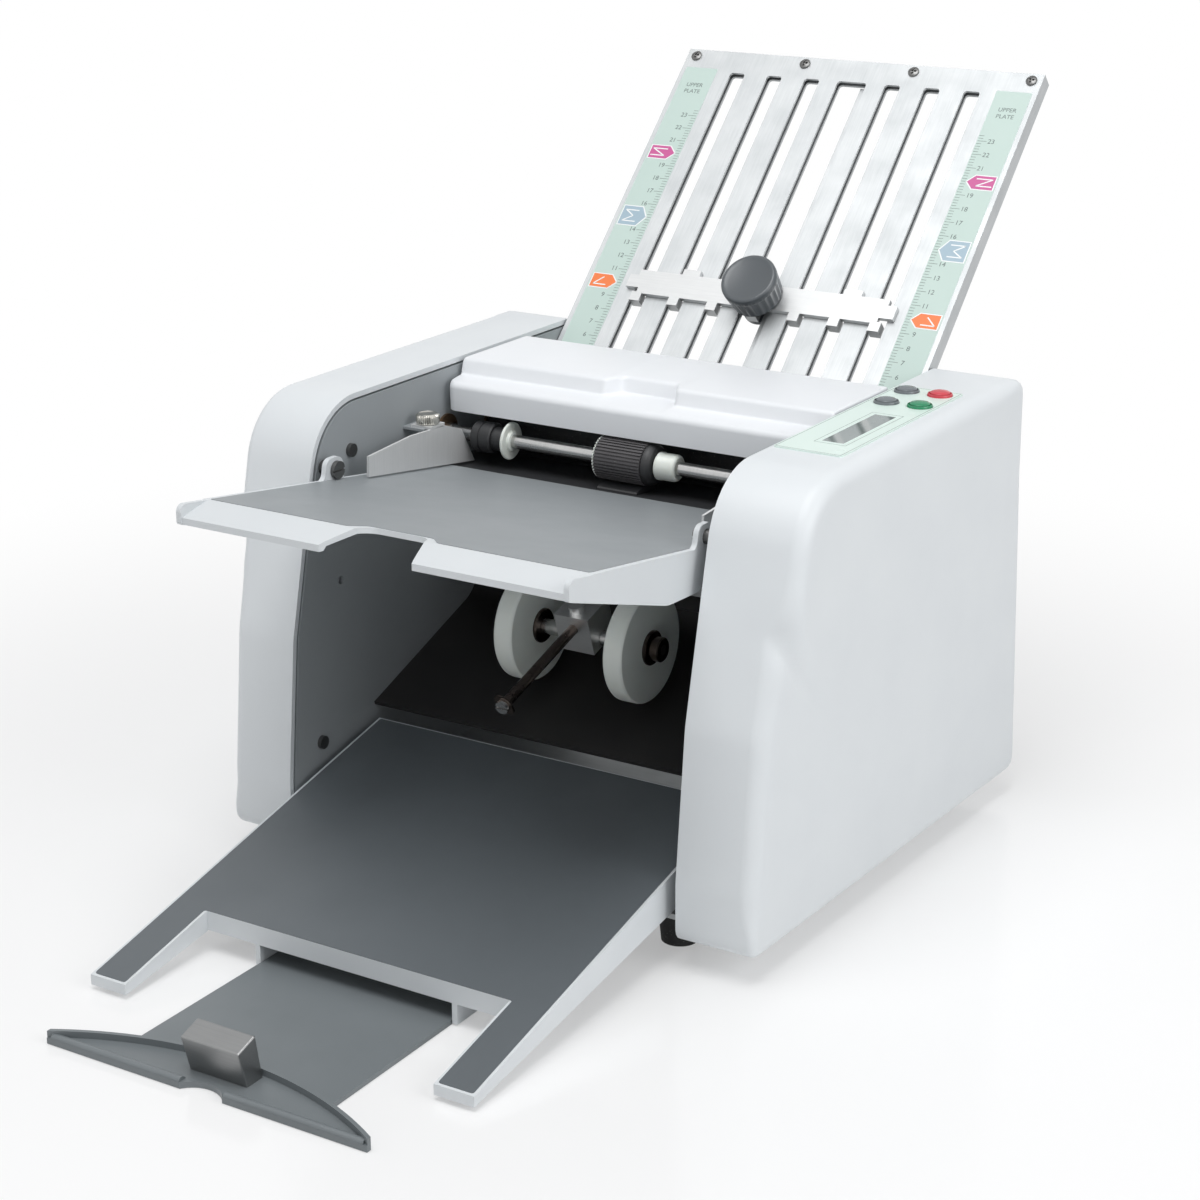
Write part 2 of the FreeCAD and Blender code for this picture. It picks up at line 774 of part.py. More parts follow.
def make_drive_train():
    for name in ROLLERS:
        make_roller(name)
    half_tooth = "180 / tooth_count"
    make_gear("drive", "0")
    for name in ("upper", "rear", "lower"):
        make_gear(name, f"mod(2 * {name}_angle + 540 + {half_tooth}, 2 * {half_tooth})")
    body = new_body("feed_pulley", y="feed_y", z="feed_z")
    extrude(body, "YZ_Plane", "feed_pulley_x", "feed_pulley_x + pulley_width",
            circles=[("0", "0", "feed_pulley_radius"), ("0", "0", "journal + press_on")])
    body = new_body("motor_pulley", y="motor_y", z="motor_z")
    revolve(body, "XY_Plane", "X_Axis", stepped([
        "inner_wall - motor_flange", ("drive_pulley_x", "shaft_radius"),
        ("drive_pulley_x + pulley_width", "motor_pulley_radius")]))
    upper_y, upper_z = ROLLERS["upper"]
    make_belt("feed_belt", "feed_pulley_x + past", ("feed_y", "feed_z", "feed_pulley_radius"),
              (upper_y, upper_z, "feed_pulley_radius"))
    make_belt("drive_belt", "drive_pulley_x + past", ("motor_y", "motor_z", "motor_pulley_radius"),
              ("drive_y", "drive_z", "drive_pulley_radius"))


def make_motor():
    body = new_body("motor", y="motor_y", z="motor_z")
    face = "inner_wall"
    revolve(body, "XY_Plane", "X_Axis", stepped([
        f"{face} - motor_flange - motor_length - motor_tail",
        (f"{face} - motor_flange - motor_length", "tail_radius"),
        (f"{face} - motor_flange", "motor_radius"), (face, "motor_radius + 2")]))
    cut(body, "YZ_Plane", f"{face} - motor_flange - 2", face,
        circles=[("0", "0", "shaft_radius + fit")])


def make_bushes():
    bushes = []
    spots = list(ROLLERS.values()) + [("feed_y", "feed_z")]
    for side in (-1, 1):
        sleeve_ends = along_x(side, "inner_wall", "inner_wall + steel + past")
        flange_ends = along_x(side, "inner_wall - flange_thick", "inner_wall")
        bore_ends = along_x(side, "inner_wall - 5", "inner_wall + 10")
        for y, z in spots:
            whole = fused([cross_rod("bush_radius", *sleeve_ends, y, z),
                           cross_rod("bush_flange", *flange_ends, y, z)])
            bushes.append(less(whole, cross_rod("journal + fit", *bore_ends, y, z)))
    grouped(bushes, "bearing_bushes")


def belt_wire(first, second, spread):
    """The outline of a belt about two pulleys, spread away from their surfaces."""
    (y_one, z_one, radius_one), (y_two, z_two, radius_two) = first, second
    radius_one += spread
    radius_two += spread
    start = FreeCAD.Vector(0, y_one, z_one)
    end = FreeCAD.Vector(0, y_two, z_two)
    run = end - start
    ahead = FreeCAD.Vector(run).normalize()
    across = FreeCAD.Vector(0, -ahead.z, ahead.y)
    lean = (radius_one - radius_two) / run.Length
    rise = math.sqrt(1 - lean * lean)
    left = across * rise + ahead * lean
    right = across * -rise + ahead * lean
    spots = [start + left * radius_one, end + left * radius_two,
             end + right * radius_two, start + right * radius_one]
    return Part.Wire([
        Part.LineSegment(spots[0], spots[1]).toShape(),
        Part.Arc(spots[1], end + ahead * radius_two, spots[2]).toShape(),
        Part.LineSegment(spots[2], spots[3]).toShape(),
        Part.Arc(spots[3], start - ahead * radius_one, spots[0]).toShape(),
    ])


def make_belt(label, start, first, second):
    """A closed belt: its loop clears both pulleys by a little slack."""
    belt = document.addObject("Part::Feature", "Belt")
    pulleys = [tuple(value(size) for size in pulley) for pulley in (first, second)]
    outer = Part.Face(belt_wire(*pulleys, value("belt_thick + belt_slack")))
    inner = Part.Face(belt_wire(*pulleys, value("belt_slack")))
    belt.Shape = outer.cut(inner).extrude(FreeCAD.Vector(value("belt_width"), 0, 0))
    place(belt, x=start)
    sub_part(belt, label)


# ---------------------------------------------------------------- friction feed

def make_feed_shaft():
    body = new_body("feed_shaft", y="feed_y", z="feed_z")
    revolve(body, "XY_Plane", "X_Axis", stepped([
        "-journal_end", ("-table_half", "journal"), ("-sleeve_start", "shaft_radius"),
        ("-sleeve_step", "sleeve_radius"), ("-disc_start", "sleeve_radius - 2"),
        ("-disc_end", "disc_radius"), ("feed_half_width + ring_width + 0.5", "shaft_radius"),
        ("feed_half_width + 14", "bush_radius"), ("feed_half_width + 19", "bush_radius - 2"),
        ("table_half", "shaft_radius"), ("feed_pulley_x + pulley_width + 2", "journal")]))
    body = new_body("feed_roller_core", y="feed_y", z="feed_z")
    extrude(body, "YZ_Plane", "-feed_half_width", "feed_half_width + ring_width",
            circles=[("0", "0", "core_radius"), ("0", "0", "shaft_radius + press_on")])
    extrude(body, "YZ_Plane", "feed_half_width + fit", "feed_half_width + ring_width",
            circles=[("0", "0", "core_radius + 1.5"), ("0", "0", "core_radius - past")])
    body = new_body("feed_roller_tyre", y="feed_y", z="feed_z")
    extrude(body, "YZ_Plane", "-feed_half_width", "feed_half_width",
            circles=[("0", "0", "feed_radius - rib_height"), ("0", "0", "core_radius + press_on")])
    rib = extrude(body, "YZ_Plane", "-feed_half_width", "feed_half_width",
                  [rectangle("feed_radius - 1.5 * rib_height", "-rib_width / 2", "feed_radius",
                             "rib_width / 2")])
    ring = body.newObject("PartDesign::PolarPattern", "PolarPattern")
    ring.Originals = [rib]
    ring.Axis = (origin_feature(body, "X_Axis"), [""])
    ring.Angle = 360
    ring.setExpression("Occurrences", bound("ribs"))
    body.Tip = ring


def make_separator():
    body = new_body("separator_block")
    top = "feed_z - feed_radius - gap"
    side_view = [
        ("feed_y - 6", "separator_foot"),
        ("feed_y - 11", "196"),
        ("feed_y - 11", f"{top} - 2", "1.5"),
        ("feed_y - 5", top, "3"),
        ("feed_y + 6", top, "3"),
        ("feed_y + 11", f"{top} - 2", "1.5"),
        ("feed_y + 11", "196"),
        ("feed_y + 6", "separator_foot"),
    ]
    extrude(body, "YZ_Plane", "-13", "13", [side_view])
    body = new_body("paper_guide_plate")
    guide = [
        ("table_rear + 2", "199.6"),
        ("table_rear + 2", "202.6"),
        ("68", "198.4"),
        ("68", "196.9"),
        ("60", "195.8"),
    ]
    extrude(body, "YZ_Plane", "-inner_wall", "inner_wall", [guide])
    opening = rectangle("-13.5", "feed_y - 11.5", "13.5", "feed_y + 11.5")
    cut(body, "XY_Plane", "180", "210", [opening])


def table_top(y, drop="0"):
    return TABLE_SURFACE.format(y=y) + f" - ({drop})"


def make_feed_table():
    body = new_body("feed_table")
    plate = [
        ("table_front", table_top("table_front"), "1"),
        ("table_rear", table_top("table_rear")),
        ("table_rear", table_top("table_rear", "plastic")),
        ("table_front + 1", table_top("table_front + 1", "plastic")),
        ("table_nose + 5", "table_lip + 2.2"),
        ("table_nose + 3.5", "table_lip"),
        ("table_nose + 0.8", "table_lip"),
        ("table_nose + 0.8", "table_lip + 3.6"),
        ("table_nose + 4", "table_lip + 4.6"),
    ]
    extrude(body, "YZ_Plane", "-table_half", "table_half", [plate])
    flange = [
        ("table_nose", "table_lip", "2"),
        ("table_nose", table_top("table_nose", "0.3"), "4"),
        ("-97", table_top("-97", "0.3"), "4"),
        ("pivot_y - 7.5", "pivot_z + 7", "5"),
        ("pivot_y + 7", "pivot_z + 7", "6"),
        ("pivot_y + 7", "pivot_z - 12"),
        ("pivot_y - 6", "196.5", "6"),
        ("-125", "198", "30"),
    ]
    for side in (-1, 1):
        low, high = along_x(side, "table_half - plastic", "table_half")
        extrude(body, "YZ_Plane", low, high, [flange])
        cut(body, "YZ_Plane", low, high, circles=[("pivot_y", "pivot_z", "pivot_radius + fit")])
    grip = [("-30", "table_nose - 5"), ("30", "table_nose - 5"),
            ("18", "table_front + 9", "9"), ("-18", "table_front + 9", "9")]
    cut(body, "XY_Plane", "215", "245", [grip])


def make_guide(name, side):
    body = new_body(f"{name}_guide")
    near, far = along_x(side, "guide_x - guide_thick / 2", "guide_x + guide_thick / 2")
    lift = "-guide_lift"
    side_view = [
        ("-70", table_top("-70", lift)),
        ("-69.5", "228.5"),
        ("-29", "231", "2"),
        ("4", "229.5", "2"),
        ("20", "224", "3"),
        ("33", table_top("33", lift)),
    ]
    extrude(body, "YZ_Plane", near, far, [side_view])
    low, high = along_x(side, "guide_x - guide_thick / 2", "thumb_x + 7")
    tab = rectangle(low, "thumb_y - 7", high, "thumb_y + 7")
    slot_low, slot_high = along_x(side, "thumb_x - 4.2", "thumb_x + 5.2")
    slot = rectangle(slot_low, "thumb_y - 2.1", slot_high, "thumb_y + 2.1")
    bottom = "lug_height + sheet + 0.02"
    extrude(body, "XY_Plane", bottom, f"{bottom} + guide_thick", [tab])
    cut(body, "XY_Plane", bottom, f"{bottom} + guide_thick", [slot])
    screw = new_body(f"{name}_guide_screw", x=f"{side} * thumb_x", y="thumb_y", z="lug_height")
    head = "sheet + guide_thick + 0.1"
    revolve(screw, "XZ_Plane", "Z_Axis", [
        ("0", "-4"), ("screw_radius", "-4"), ("screw_radius", head), ("thumb_head", head),
        ("thumb_head", f"{head} + thumb_head_high", "0.8"), ("0", f"{head} + thumb_head_high")])


# ---------------------------------------------------------------- fold plates

def slot_middle(place_number):
    """Where a slot lies across the plate; the middle slot is the wide one."""
    sign = (place_number > 0) - (place_number < 0)
    return f"{place_number} * slot_step + {sign} * 1.3"


def cut_slots(body, low, start, end):
    """The seven long slots of one sheet."""
    for place_number in range(-3, 4):
        middle = slot_middle(place_number)
        width = "slot_width" if place_number else "centre_slot"
        slot = rectangle(f"{middle} - {width} / 2", start, f"{middle} + {width} / 2", end, "2")
        cut(body, "XY_Plane", low, f"{low} + sheet", [slot])


def make_fold_plate(names, where, start, end, slots, outer_low, flange_low, flange_high, screws):
    """A buckle plate: two slotted sheets a paper gap apart, one with folded side flanges."""
    folded_name, flat_name = names
    folded_low, flat_low, space_low = outer_low
    body = new_body(folded_name, **where)
    whole = rectangle("-plate_half", start, "plate_half", end)
    extrude(body, "XY_Plane", folded_low, f"{folded_low} + sheet", [whole])
    cut_slots(body, folded_low, *slots)
    side_view = rectangle(start, flange_low, end, flange_high)
    for side in (-1, 1):
        low, high = along_x(side, "plate_half - sheet", "plate_half")
        extrude(body, "YZ_Plane", low, high, [side_view])
    if screws:
        cut(body, "XY_Plane", folded_low, f"{folded_low} + sheet", circles=screws)
    body = new_body(flat_name, **where)
    inner = "plate_half - sheet - gap"
    whole = rectangle(f"-({inner})", start, inner, end)
    extrude(body, "XY_Plane", flat_low, f"{flat_low} + sheet", [whole])
    cut_slots(body, flat_low, *slots)
    for side in (-1, 1):
        low, high = along_x(side, f"{inner} - 6", inner)
        extrude(body, "XY_Plane", space_low, f"{space_low} + paper_gap",
                [rectangle(low, start, high, end)])
    extrude(body, "XY_Plane", space_low, f"{space_low} + paper_gap",
            [rectangle(f"-({inner})", f"{end} - 12", inner, end)])
    if screws:
        cut(body, "XY_Plane", flat_low, f"{space_low} + paper_gap", circles=screws)


def make_stop(names, where, low, high, base, tooth_end, disc_high, knob_radius, knob_height):
    """A cross bar with hooks in the slots, and the knob whose disc clamps it from behind."""
    body = new_body(names[0], **where)
    top = f"{base} + stop_thick"
    middle = f"({low} + {high}) / 2"
    outline = [
        ("-stop_half", f"{low} + 4"), ("-stop_half + 9", f"{low} + 4"), ("-stop_half + 9", low),
        ("stop_half - 9", low), ("stop_half - 9", f"{low} + 4"), ("stop_half", f"{low} + 4"),
        ("stop_half", f"{high} - 4"), ("stop_half - 6", f"{high} - 4"), ("stop_half - 6", high),
        ("66", high), ("66", f"{high} + 4"), ("54", f"{high} + 4"), ("54", high),
        ("-44", high), ("-44", f"{high} + 4"), ("-56", f"{high} + 4"), ("-56", high),
        ("-stop_half + 6", high), ("-stop_half + 6", f"{high} - 4"), ("-stop_half", f"{high} - 4"),
    ]
    extrude(body, "XY_Plane", base, top, [outline], [("0", middle, "4.1")])
    for place_number in range(-3, 4):
        across = slot_middle(place_number)
        near, far = f"{across} - hook_half", f"{across} + hook_half"
        tooth = rectangle(near, f"{low} - hook", far, f"{low} + 1")
        extrude(body, "XY_Plane", tooth_end, top, [tooth])
    x, y = "0", middle
    knob = new_body(names[1], **where)
    shaft_low = f"{disc_high} - 2.5"
    knob_low = f"{top} + 0.1"
    extrude(knob, "XY_Plane", shaft_low, knob_low, circles=[(x, y, "4")])
    extrude(knob, "XY_Plane", shaft_low, disc_high, circles=[(x, y, "13")])
    grip = extrude(knob, "XY_Plane", knob_low, f"{knob_low} + {knob_height}",
                   circles=[(x, y, knob_radius)])
    limit = value(f"{knob_low} + {knob_height}")
    inverse = knob.Placement.inverse()

    def on_crown(spot):
        return limit in (round(spot.z, 3), round(inverse.multVec(spot).z, 3))
    round_edges(knob, grip, "1.5", on_crown)


def make_upper_plate():
    where = {"y": "upper_y", "z": "upper_z", "axis": (1, 0, 0), "angle": "upper_tilt"}
    behind = "-(2 * sheet + paper_gap)"
    screw_line = "upper_end - 5.5"
    holes = [(across, screw_line, "2") for across in PLATE_SCREWS]
    make_fold_plate(
        ("upper_plate_front_sheet", "upper_plate_rear_sheet"), where, "upper_start", "upper_end",
        ("slot_start", "slot_end"), ("-sheet", behind, "-(sheet + paper_gap)"),
        "-upper_flange", "0", holes)
    screws = new_body("upper_plate_screws", **where)
    for across in PLATE_SCREWS:
        extrude(screws, "XY_Plane", behind, "0.5", circles=[(across, screw_line, "1.95")])
        extrude(screws, "XY_Plane", "0", "1.6", circles=[(across, screw_line, "3.5")])
    make_stop(("upper_stop_bar", "upper_stop_knob"), where, "stop_low", "stop_high", "gap",
              "-(sheet + paper_gap) + gap", f"{behind} - gap", "knob_radius", "knob_height")


def make_lower_plate():
    where = {"y": "lower_y", "z": "lower_z", "axis": (-1, 0, 0), "angle": "-lower_tilt"}
    half = "paper_gap / 2"
    make_fold_plate(
        ("lower_plate_bottom_sheet", "lower_plate_top_sheet"), where, "0", "lower_end",
        ("slot_start", "lower_end - 18"), (f"-({half} + sheet)", half, f"-{half}"),
        "-lower_flange", f"-{half}", [])
    make_stop(("lower_stop_bar", "lower_stop_knob"), where, "lower_stop", "lower_stop + 17",
              f"{half} + sheet + gap", f"-{half} + gap", f"-({half} + sheet + gap)", "14", "18")


# ---------------------------------------------------------------- top cover

def make_top_cover():
    body = new_body("top_cover")
    profile = [
        ("top_front + 0.6", "top_low"),
        ("top_front", "tier_height - 0.8", "4"),
        ("tier_step - 0.8", "tier_height + 0.8", "1.2"),
        ("tier_step + 0.8", "cover_top", "3"),
        ("top_rear", "cover_top", "2"),
        ("top_rear", "hinge_z - 7", "3"),
        ("hinge_y - 7", "hinge_z - 7", "3"),
        ("hinge_y - 14", "top_low"),
    ]
    extrude(body, "YZ_Plane", "-top_half", "top_half", [profile])
    hollow = [
        ("top_front + 3.6", "top_low - 5"),
        ("top_front + 3.6", "tier_height - 3.2"),
        ("60", "tier_height - 3.2"),
        ("60", "cover_top - cover_wall"),
        ("top_rear - cover_wall", "cover_top - cover_wall"),
        ("top_rear - cover_wall", "top_low - 5"),
    ]
    cut(body, "YZ_Plane", "-(top_half - plastic)", "top_half - plastic", [hollow])
    cut(body, "YZ_Plane", "-(top_half + 1)", "top_half + 1",
        circles=[("hinge_y", "hinge_z", "hinge_radius + fit")])
    grip = rectangle("-grip_half", "tier_step - 3", "grip_half", "tier_step + 11", "2.5")
    cut(body, "XY_Plane", "tier_height + 1", "cover_top + 1", [grip])


# ---------------------------------------------------------------- folded sheet delivery

def make_press():
    tilt = {"y": "rod_front_y", "z": "rod_front_z", "axis": (1, 0, 0), "angle": "rod_slope"}
    rod = new_body("press_rod", **tilt)
    extrude(rod, "XZ_Plane", "0", "rod_length", circles=[("0", "0", "rod_radius")])
    extrude(rod, "XZ_Plane", "3", "4", circles=[("0", "0", "rod_radius + 2.6")])
    cut(rod, "XZ_Plane", "-0.2", "1.6", [rectangle("-5", "-0.5", "5", "0.5")])
    block = new_body("press_bracket", **tilt)
    extrude(block, "YZ_Plane", "-11", "11",
            [rectangle("block_start", "-15.5", "block_start + block_depth", "8")],
            [("axle_along", "-axle_below", "rod_radius + 0.02")])
    cut(block, "XZ_Plane", "block_start", "block_start + block_depth",
        circles=[("0", "0", "rod_radius + fit")])
    extrude(block, "XY_Plane", "8", "12", circles=[("0", "block_start + 7", "4.5")])
    y, z = rod_spot("axle_along", "-axle_below")
    axle = new_body("press_axle", y=y, z=z)
    hub = "wheel_x - 8 - gap"
    revolve(axle, "XY_Plane", "X_Axis", stepped([
        "-(wheel_x + 11.2)", ("-(wheel_x + 8 + gap)", "7"), (f"-({hub})", "rod_radius"),
        ("-11.2", "4.5"), ("11.2", "rod_radius"), (hub, "4.5"),
        ("wheel_x + 8 + gap", "rod_radius"), ("wheel_x + 14", "7")]))
    for name, side in (("left", -1), ("right", 1)):
        wheel = new_body(f"{name}_press_wheel", x=f"{side} * wheel_x", y=y, z=z)
        half = "wheel_width / 2"
        revolve(wheel, "XY_Plane", "X_Axis", [
            ("-8", "rod_radius + fit"), ("-8", "hub_radius"), (f"-{half}", "hub_radius"),
            (f"-{half}", "wheel_radius", "1"), (half, "wheel_radius", "1"),
            (half, "hub_radius"), ("8", "hub_radius"), ("8", "rod_radius + fit")])


def exit_line(y):
    """The height of the exit table's upper surface."""
    rise = "(exit_rear_top - exit_front_top) / (exit_rear - exit_front)"
    return f"(exit_front_top + ({y} - exit_front) * {rise})"


def make_exit_table():
    body = new_body("exit_table")
    plate = [
        ("exit_front", f"{exit_line('exit_front')} - plastic"),
        ("exit_front", exit_line("exit_front")),
        ("exit_rear", exit_line("exit_rear")),
        ("exit_rear", f"{exit_line('exit_rear')} - plastic"),
    ]
    extrude(body, "YZ_Plane", "-exit_half", "exit_half", [plate])
    cut(body, "XY_Plane", "-5", "40",
        [rectangle("-arm_inner", "exit_front - 5", "arm_inner", "notch_y")])
    under = "exit_low + (25.8 / 183)"
    outer_flange = [
        ("exit_front", "exit_low"),
        ("exit_front", exit_line("exit_front")),
        ("exit_rear", exit_line("exit_rear")),
        ("exit_rear", "38"),
        ("-117", "28.5"),
    ]
    arm_flange = [
        ("exit_front", "exit_low"),
        ("exit_front", exit_line("exit_front")),
        ("notch_y", exit_line("notch_y")),
        ("notch_y", f"{under} * (notch_y - exit_front)"),
    ]
    tip = [
        ("exit_front", "exit_low"),
        ("exit_front", exit_line("exit_front")),
        ("exit_front + plastic", exit_line("exit_front + plastic")),
        ("exit_front + plastic", f"{under} * plastic"),
    ]
    rail = [
        ("notch_y", "0.8"),
        ("notch_y", exit_line("notch_y")),
        ("notch_y + 40", exit_line("notch_y + 40")),
        ("notch_y + 40", "0.8"),
    ]
    foot = [
        ("base_front + 2", "foot_height + steel"),
        ("base_front + 2", exit_line("base_front + 2")),
        ("exit_rear - 4", exit_line("exit_rear - 4")),
        ("exit_rear - 4", "foot_height + steel"),
    ]
    for side in (-1, 1):
        for near, far, loop in (
                ("exit_half - plastic", "exit_half", outer_flange),
                ("arm_inner", "arm_inner + plastic", arm_flange),
                ("arm_inner", "exit_half", tip),
                ("tongue_half + 0.4", "tongue_half + 3.4", rail),
                ("tongue_half", "tongue_half + plastic", foot)):
            low, high = along_x(side, near, far)
            extrude(body, "YZ_Plane", low, high, [loop])
        extrude(body, "XY_Plane", "0", "exit_front_top + 0.5",
                circles=[(f"{side} * (arm_inner + 11.5)", "exit_front + 12", "6")])
    lip = [
        ("notch_y", f"{exit_line('notch_y')} - 11"),
        ("notch_y", exit_line("notch_y")),
        ("notch_y + plastic", exit_line("notch_y + plastic")),
        ("notch_y + plastic", f"{exit_line('notch_y')} - 11"),
    ]
    extrude(body, "YZ_Plane", "-(arm_inner + plastic)", "arm_inner + plastic", [lip])


def make_exit_chute():
    """Two bent sheets: the chute that the folded sheets slide down, and the guide over it."""
    sheets = []
    for side_view in (CHUTE_SHEET, CHUTE_GUIDE):
        sheets.append(bare_body())
        extrude(sheets[-1], "YZ_Plane", "-inner_wall", "inner_wall", [side_view])
    grouped(sheets, "exit_chute")


def make_exit_stopper():
    centre = "stopper_apex - stopper_radius"
    top = "stopper_lift + stopper_thick"
    field = box("-97", "97", "stopper_front", "stopper_apex + 1", "stopper_lift", "stopper_lip")
    disc = upright("stopper_radius", "0", centre, "stopper_lift", "stopper_lip")
    hollow = upright("stopper_radius - 2.2", "0", centre, top, "stopper_lip + 5")
    crescent = document.addObject("Part::MultiCommon", "Crescent")
    crescent.Shapes = [field, disc]
    notch = upright("16", "0", "stopper_front - 9.5", "stopper_lift - 1", "stopper_lip + 1")
    tongue = box("-tongue_half", "tongue_half", "stopper_front + 20", "tongue_rear",
                 "stopper_lift", "stopper_lift + 2.5")
    dished = less(less(crescent, hollow), notch)
    sub_part(fused([dished, tongue]), "exit_stopper")
    block = new_body("stopper_block")
    side_view = [("-342", top), ("-347.5", "23.3"), ("-334.3", "27.6"), ("-330", top)]
    grip = extrude(block, "YZ_Plane", "-17.5", "17.5", [side_view])
    limit = value(top) + 0.1
    round_edges(block, grip, "0.8", lambda spot: spot.z > limit)


# ---------------------------------------------------------------- controls

def make_panel():
    body = new_body("control_panel")
    low, high = "cover_top", "cover_top + panel_thick"
    outline = rectangle("panel_start", "panel_front", "panel_end", "panel_rear", "2")
    extrude(body, "XY_Plane", low, high, [outline, window_outline("0")],
            [(x, y, "button_radius + gap") for x, y in BUTTONS.values()])
    glass = new_body("lcd_window")
    extrude(glass, "XY_Plane", low, high, [window_outline("fit")])
    for name, (x, y) in BUTTONS.items():
        button = new_body(name, x=x, y=y)
        under = "cover_top - cover_wall - gap"
        revolve(button, "XZ_Plane", "Z_Axis", [
            ("0", "243.2"), ("2", "243.2"), ("2", "251"), ("8.5", "253.2"), ("8.5", under),
            ("button_radius", under), ("button_radius", "cover_top + button_rise", "1.8"),
            ("0", "cover_top + button_rise + 0.8")])
    board = new_body("circuit_board")
    board_top = "board_low + board_thick"
    extrude(board, "XY_Plane", "board_low", board_top,
            [rectangle("inner_wall + steel + gap", "-30", "board_end", "115")])
    for x, y in BUTTONS.values():
        switch = rectangle(f"{x} - 3", f"{y} - 3", f"{x} + 3", f"{y} + 3")
        extrude(board, "XY_Plane", board_top, "switch_top", [switch])
    display = window_outline("2 * window_ledge")
    extrude(board, "XY_Plane", board_top, "cover_top - cover_wall - 1.5", [display])


def make_inlet():
    body = new_body("mains_inlet")
    front, rear = "rear_foot - inlet_depth", "rear_foot + past"
    middle = "(inlet_left + inlet_right) / 2"
    outline = rectangle("inlet_left", "inlet_low", "inlet_right", "inlet_high")
    extrude(body, "XZ_Plane", front, rear, [outline])
    socket = rectangle(f"{middle} - 10", "inlet_low + 1.5", f"{middle} + 10",
                       "inlet_low + 15.5", "2")
    cut(body, "XZ_Plane", f"{rear} - 14", rear, [socket])
    for across in ("-5.5", "0", "5.5"):
        pin = rectangle(f"{middle} + {across} - 0.9", "inlet_low + 3.5",
                        f"{middle} + {across} + 0.9", "inlet_low + 7.5")
        extrude(body, "XZ_Plane", f"{rear} - 15", f"{rear} - 3", [pin])
    well = rectangle(f"{middle} - 8", "rocker_z - 6", f"{middle} + 8", "rocker_z + 6")
    cut(body, "XZ_Plane", f"{rear} - 9", rear, [well])
    rocker = new_body("power_rocker", y=f"{rear} - 4", z="rocker_z")
    extrude(rocker, "YZ_Plane", f"{middle} - rocker_half", f"{middle} + rocker_half", [ROCKER])
    extrude(rocker, "YZ_Plane", f"{middle} - trunnion_half", f"{middle} + trunnion_half",
            circles=[("0", "0", "trunnion_radius")])


make_side_frame("left_side_frame", -1)
make_side_frame("right_side_frame", 1)
make_covers()
make_base()
make_feet()
make_tie_bars()
make_frame_screws()
make_drive_train()
make_motor()
make_bushes()
make_feed_shaft()
make_separator()
make_feed_table()
make_guide("left", -1)
make_guide("right", 1)
make_upper_plate()
make_lower_plate()
make_top_cover()
make_press()
make_exit_table()
make_exit_chute()
make_exit_stopper()
make_panel()
make_inlet()
document.recompute()

for part in document.Objects:
    if "Invalid" in part.State or "Error" in part.State:
        raise RuntimeError(f"{part.Label} failed: {part.State}")

os.makedirs("parts", exist_ok=True)
for part in sub_parts:
    if part.Shape.isNull() or not part.Shape.isValid():
        raise RuntimeError(f"{part.Label} has no valid shape")
    part.Shape.exportStep(f"parts/{part.Label}.step")
    print(f"{part.Label}: {len(part.Shape.Solids)} solid(s), {part.Shape.Volume / 1000:.1f} cm3")

spans = [part.Shape.BoundBox for part in sub_parts]
for low, high, letter in (("XMin", "XMax", "x"), ("YMin", "YMax", "y"), ("ZMin", "ZMax", "z")):
    start = min(getattr(span, low) for span in spans)
    end = max(getattr(span, high) for span in spans)
    print(f"{letter}: {start:.2f} to {end:.2f}")
print(f"{len(sub_parts)} sub-parts")
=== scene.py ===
# %% [markdown]
# # A desk paper folding machine
# The construction is already done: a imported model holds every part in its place, with the
# joints that move them. This script dresses that model: it gives each part the finish of what
# it is made of, and adds the small forms that are easier to shape as meshes, such as the flutes
# of a knob or the ticks of a scale. Lengths are metres and the model's own frame is used, so a
# piece goes where the drawing says and nothing has to be fitted.

import json
import math

import bmesh
import bpy
import numpy as np
from mathutils import Matrix, Vector


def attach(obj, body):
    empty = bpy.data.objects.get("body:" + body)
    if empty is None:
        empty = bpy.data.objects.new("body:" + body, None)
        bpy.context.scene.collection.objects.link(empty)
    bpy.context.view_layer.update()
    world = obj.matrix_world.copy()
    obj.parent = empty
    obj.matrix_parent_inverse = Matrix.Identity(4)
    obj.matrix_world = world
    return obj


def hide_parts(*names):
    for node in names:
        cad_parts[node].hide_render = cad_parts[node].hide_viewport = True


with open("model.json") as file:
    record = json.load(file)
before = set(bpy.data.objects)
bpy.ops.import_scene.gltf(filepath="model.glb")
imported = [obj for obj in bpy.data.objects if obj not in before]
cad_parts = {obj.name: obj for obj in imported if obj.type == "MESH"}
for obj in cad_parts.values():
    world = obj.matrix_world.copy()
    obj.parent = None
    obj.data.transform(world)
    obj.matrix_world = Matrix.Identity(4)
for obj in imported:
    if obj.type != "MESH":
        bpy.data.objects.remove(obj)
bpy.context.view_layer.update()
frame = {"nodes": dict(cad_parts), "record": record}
MM = 0.001
SHIFT = Vector((-3.75, 16.95, 0.0))

# %% [markdown]
# ## Frames to draw in
# The machine was drawn about the middle plane of its paper path: x across the sheet, y to the
# rear, z up, in millimetres. The fold plates lean, so their details are far easier to draw on
# the plate itself, as (across, along, off). Each function below turns such a spot into a place
# in the model. A matrix would do the same; plain functions read more like the drawing.

# %% From the drawing to the model
def machine(x, y, z):
    """A spot of the machine's drawing, in millimetres, as a place in the model."""
    return (Vector((x, y, z)) + SHIFT) * MM


def leaning(start_y, start_z, degrees):
    """A drawing plane that starts at (y, z) and climbs to the rear by so many degrees."""
    rise = math.radians(degrees)

    def spot(across, along, off):
        return machine(across,
                       start_y + along * math.cos(rise) - off * math.sin(rise),
                       start_z + along * math.sin(rise) + off * math.cos(rise))
    return spot


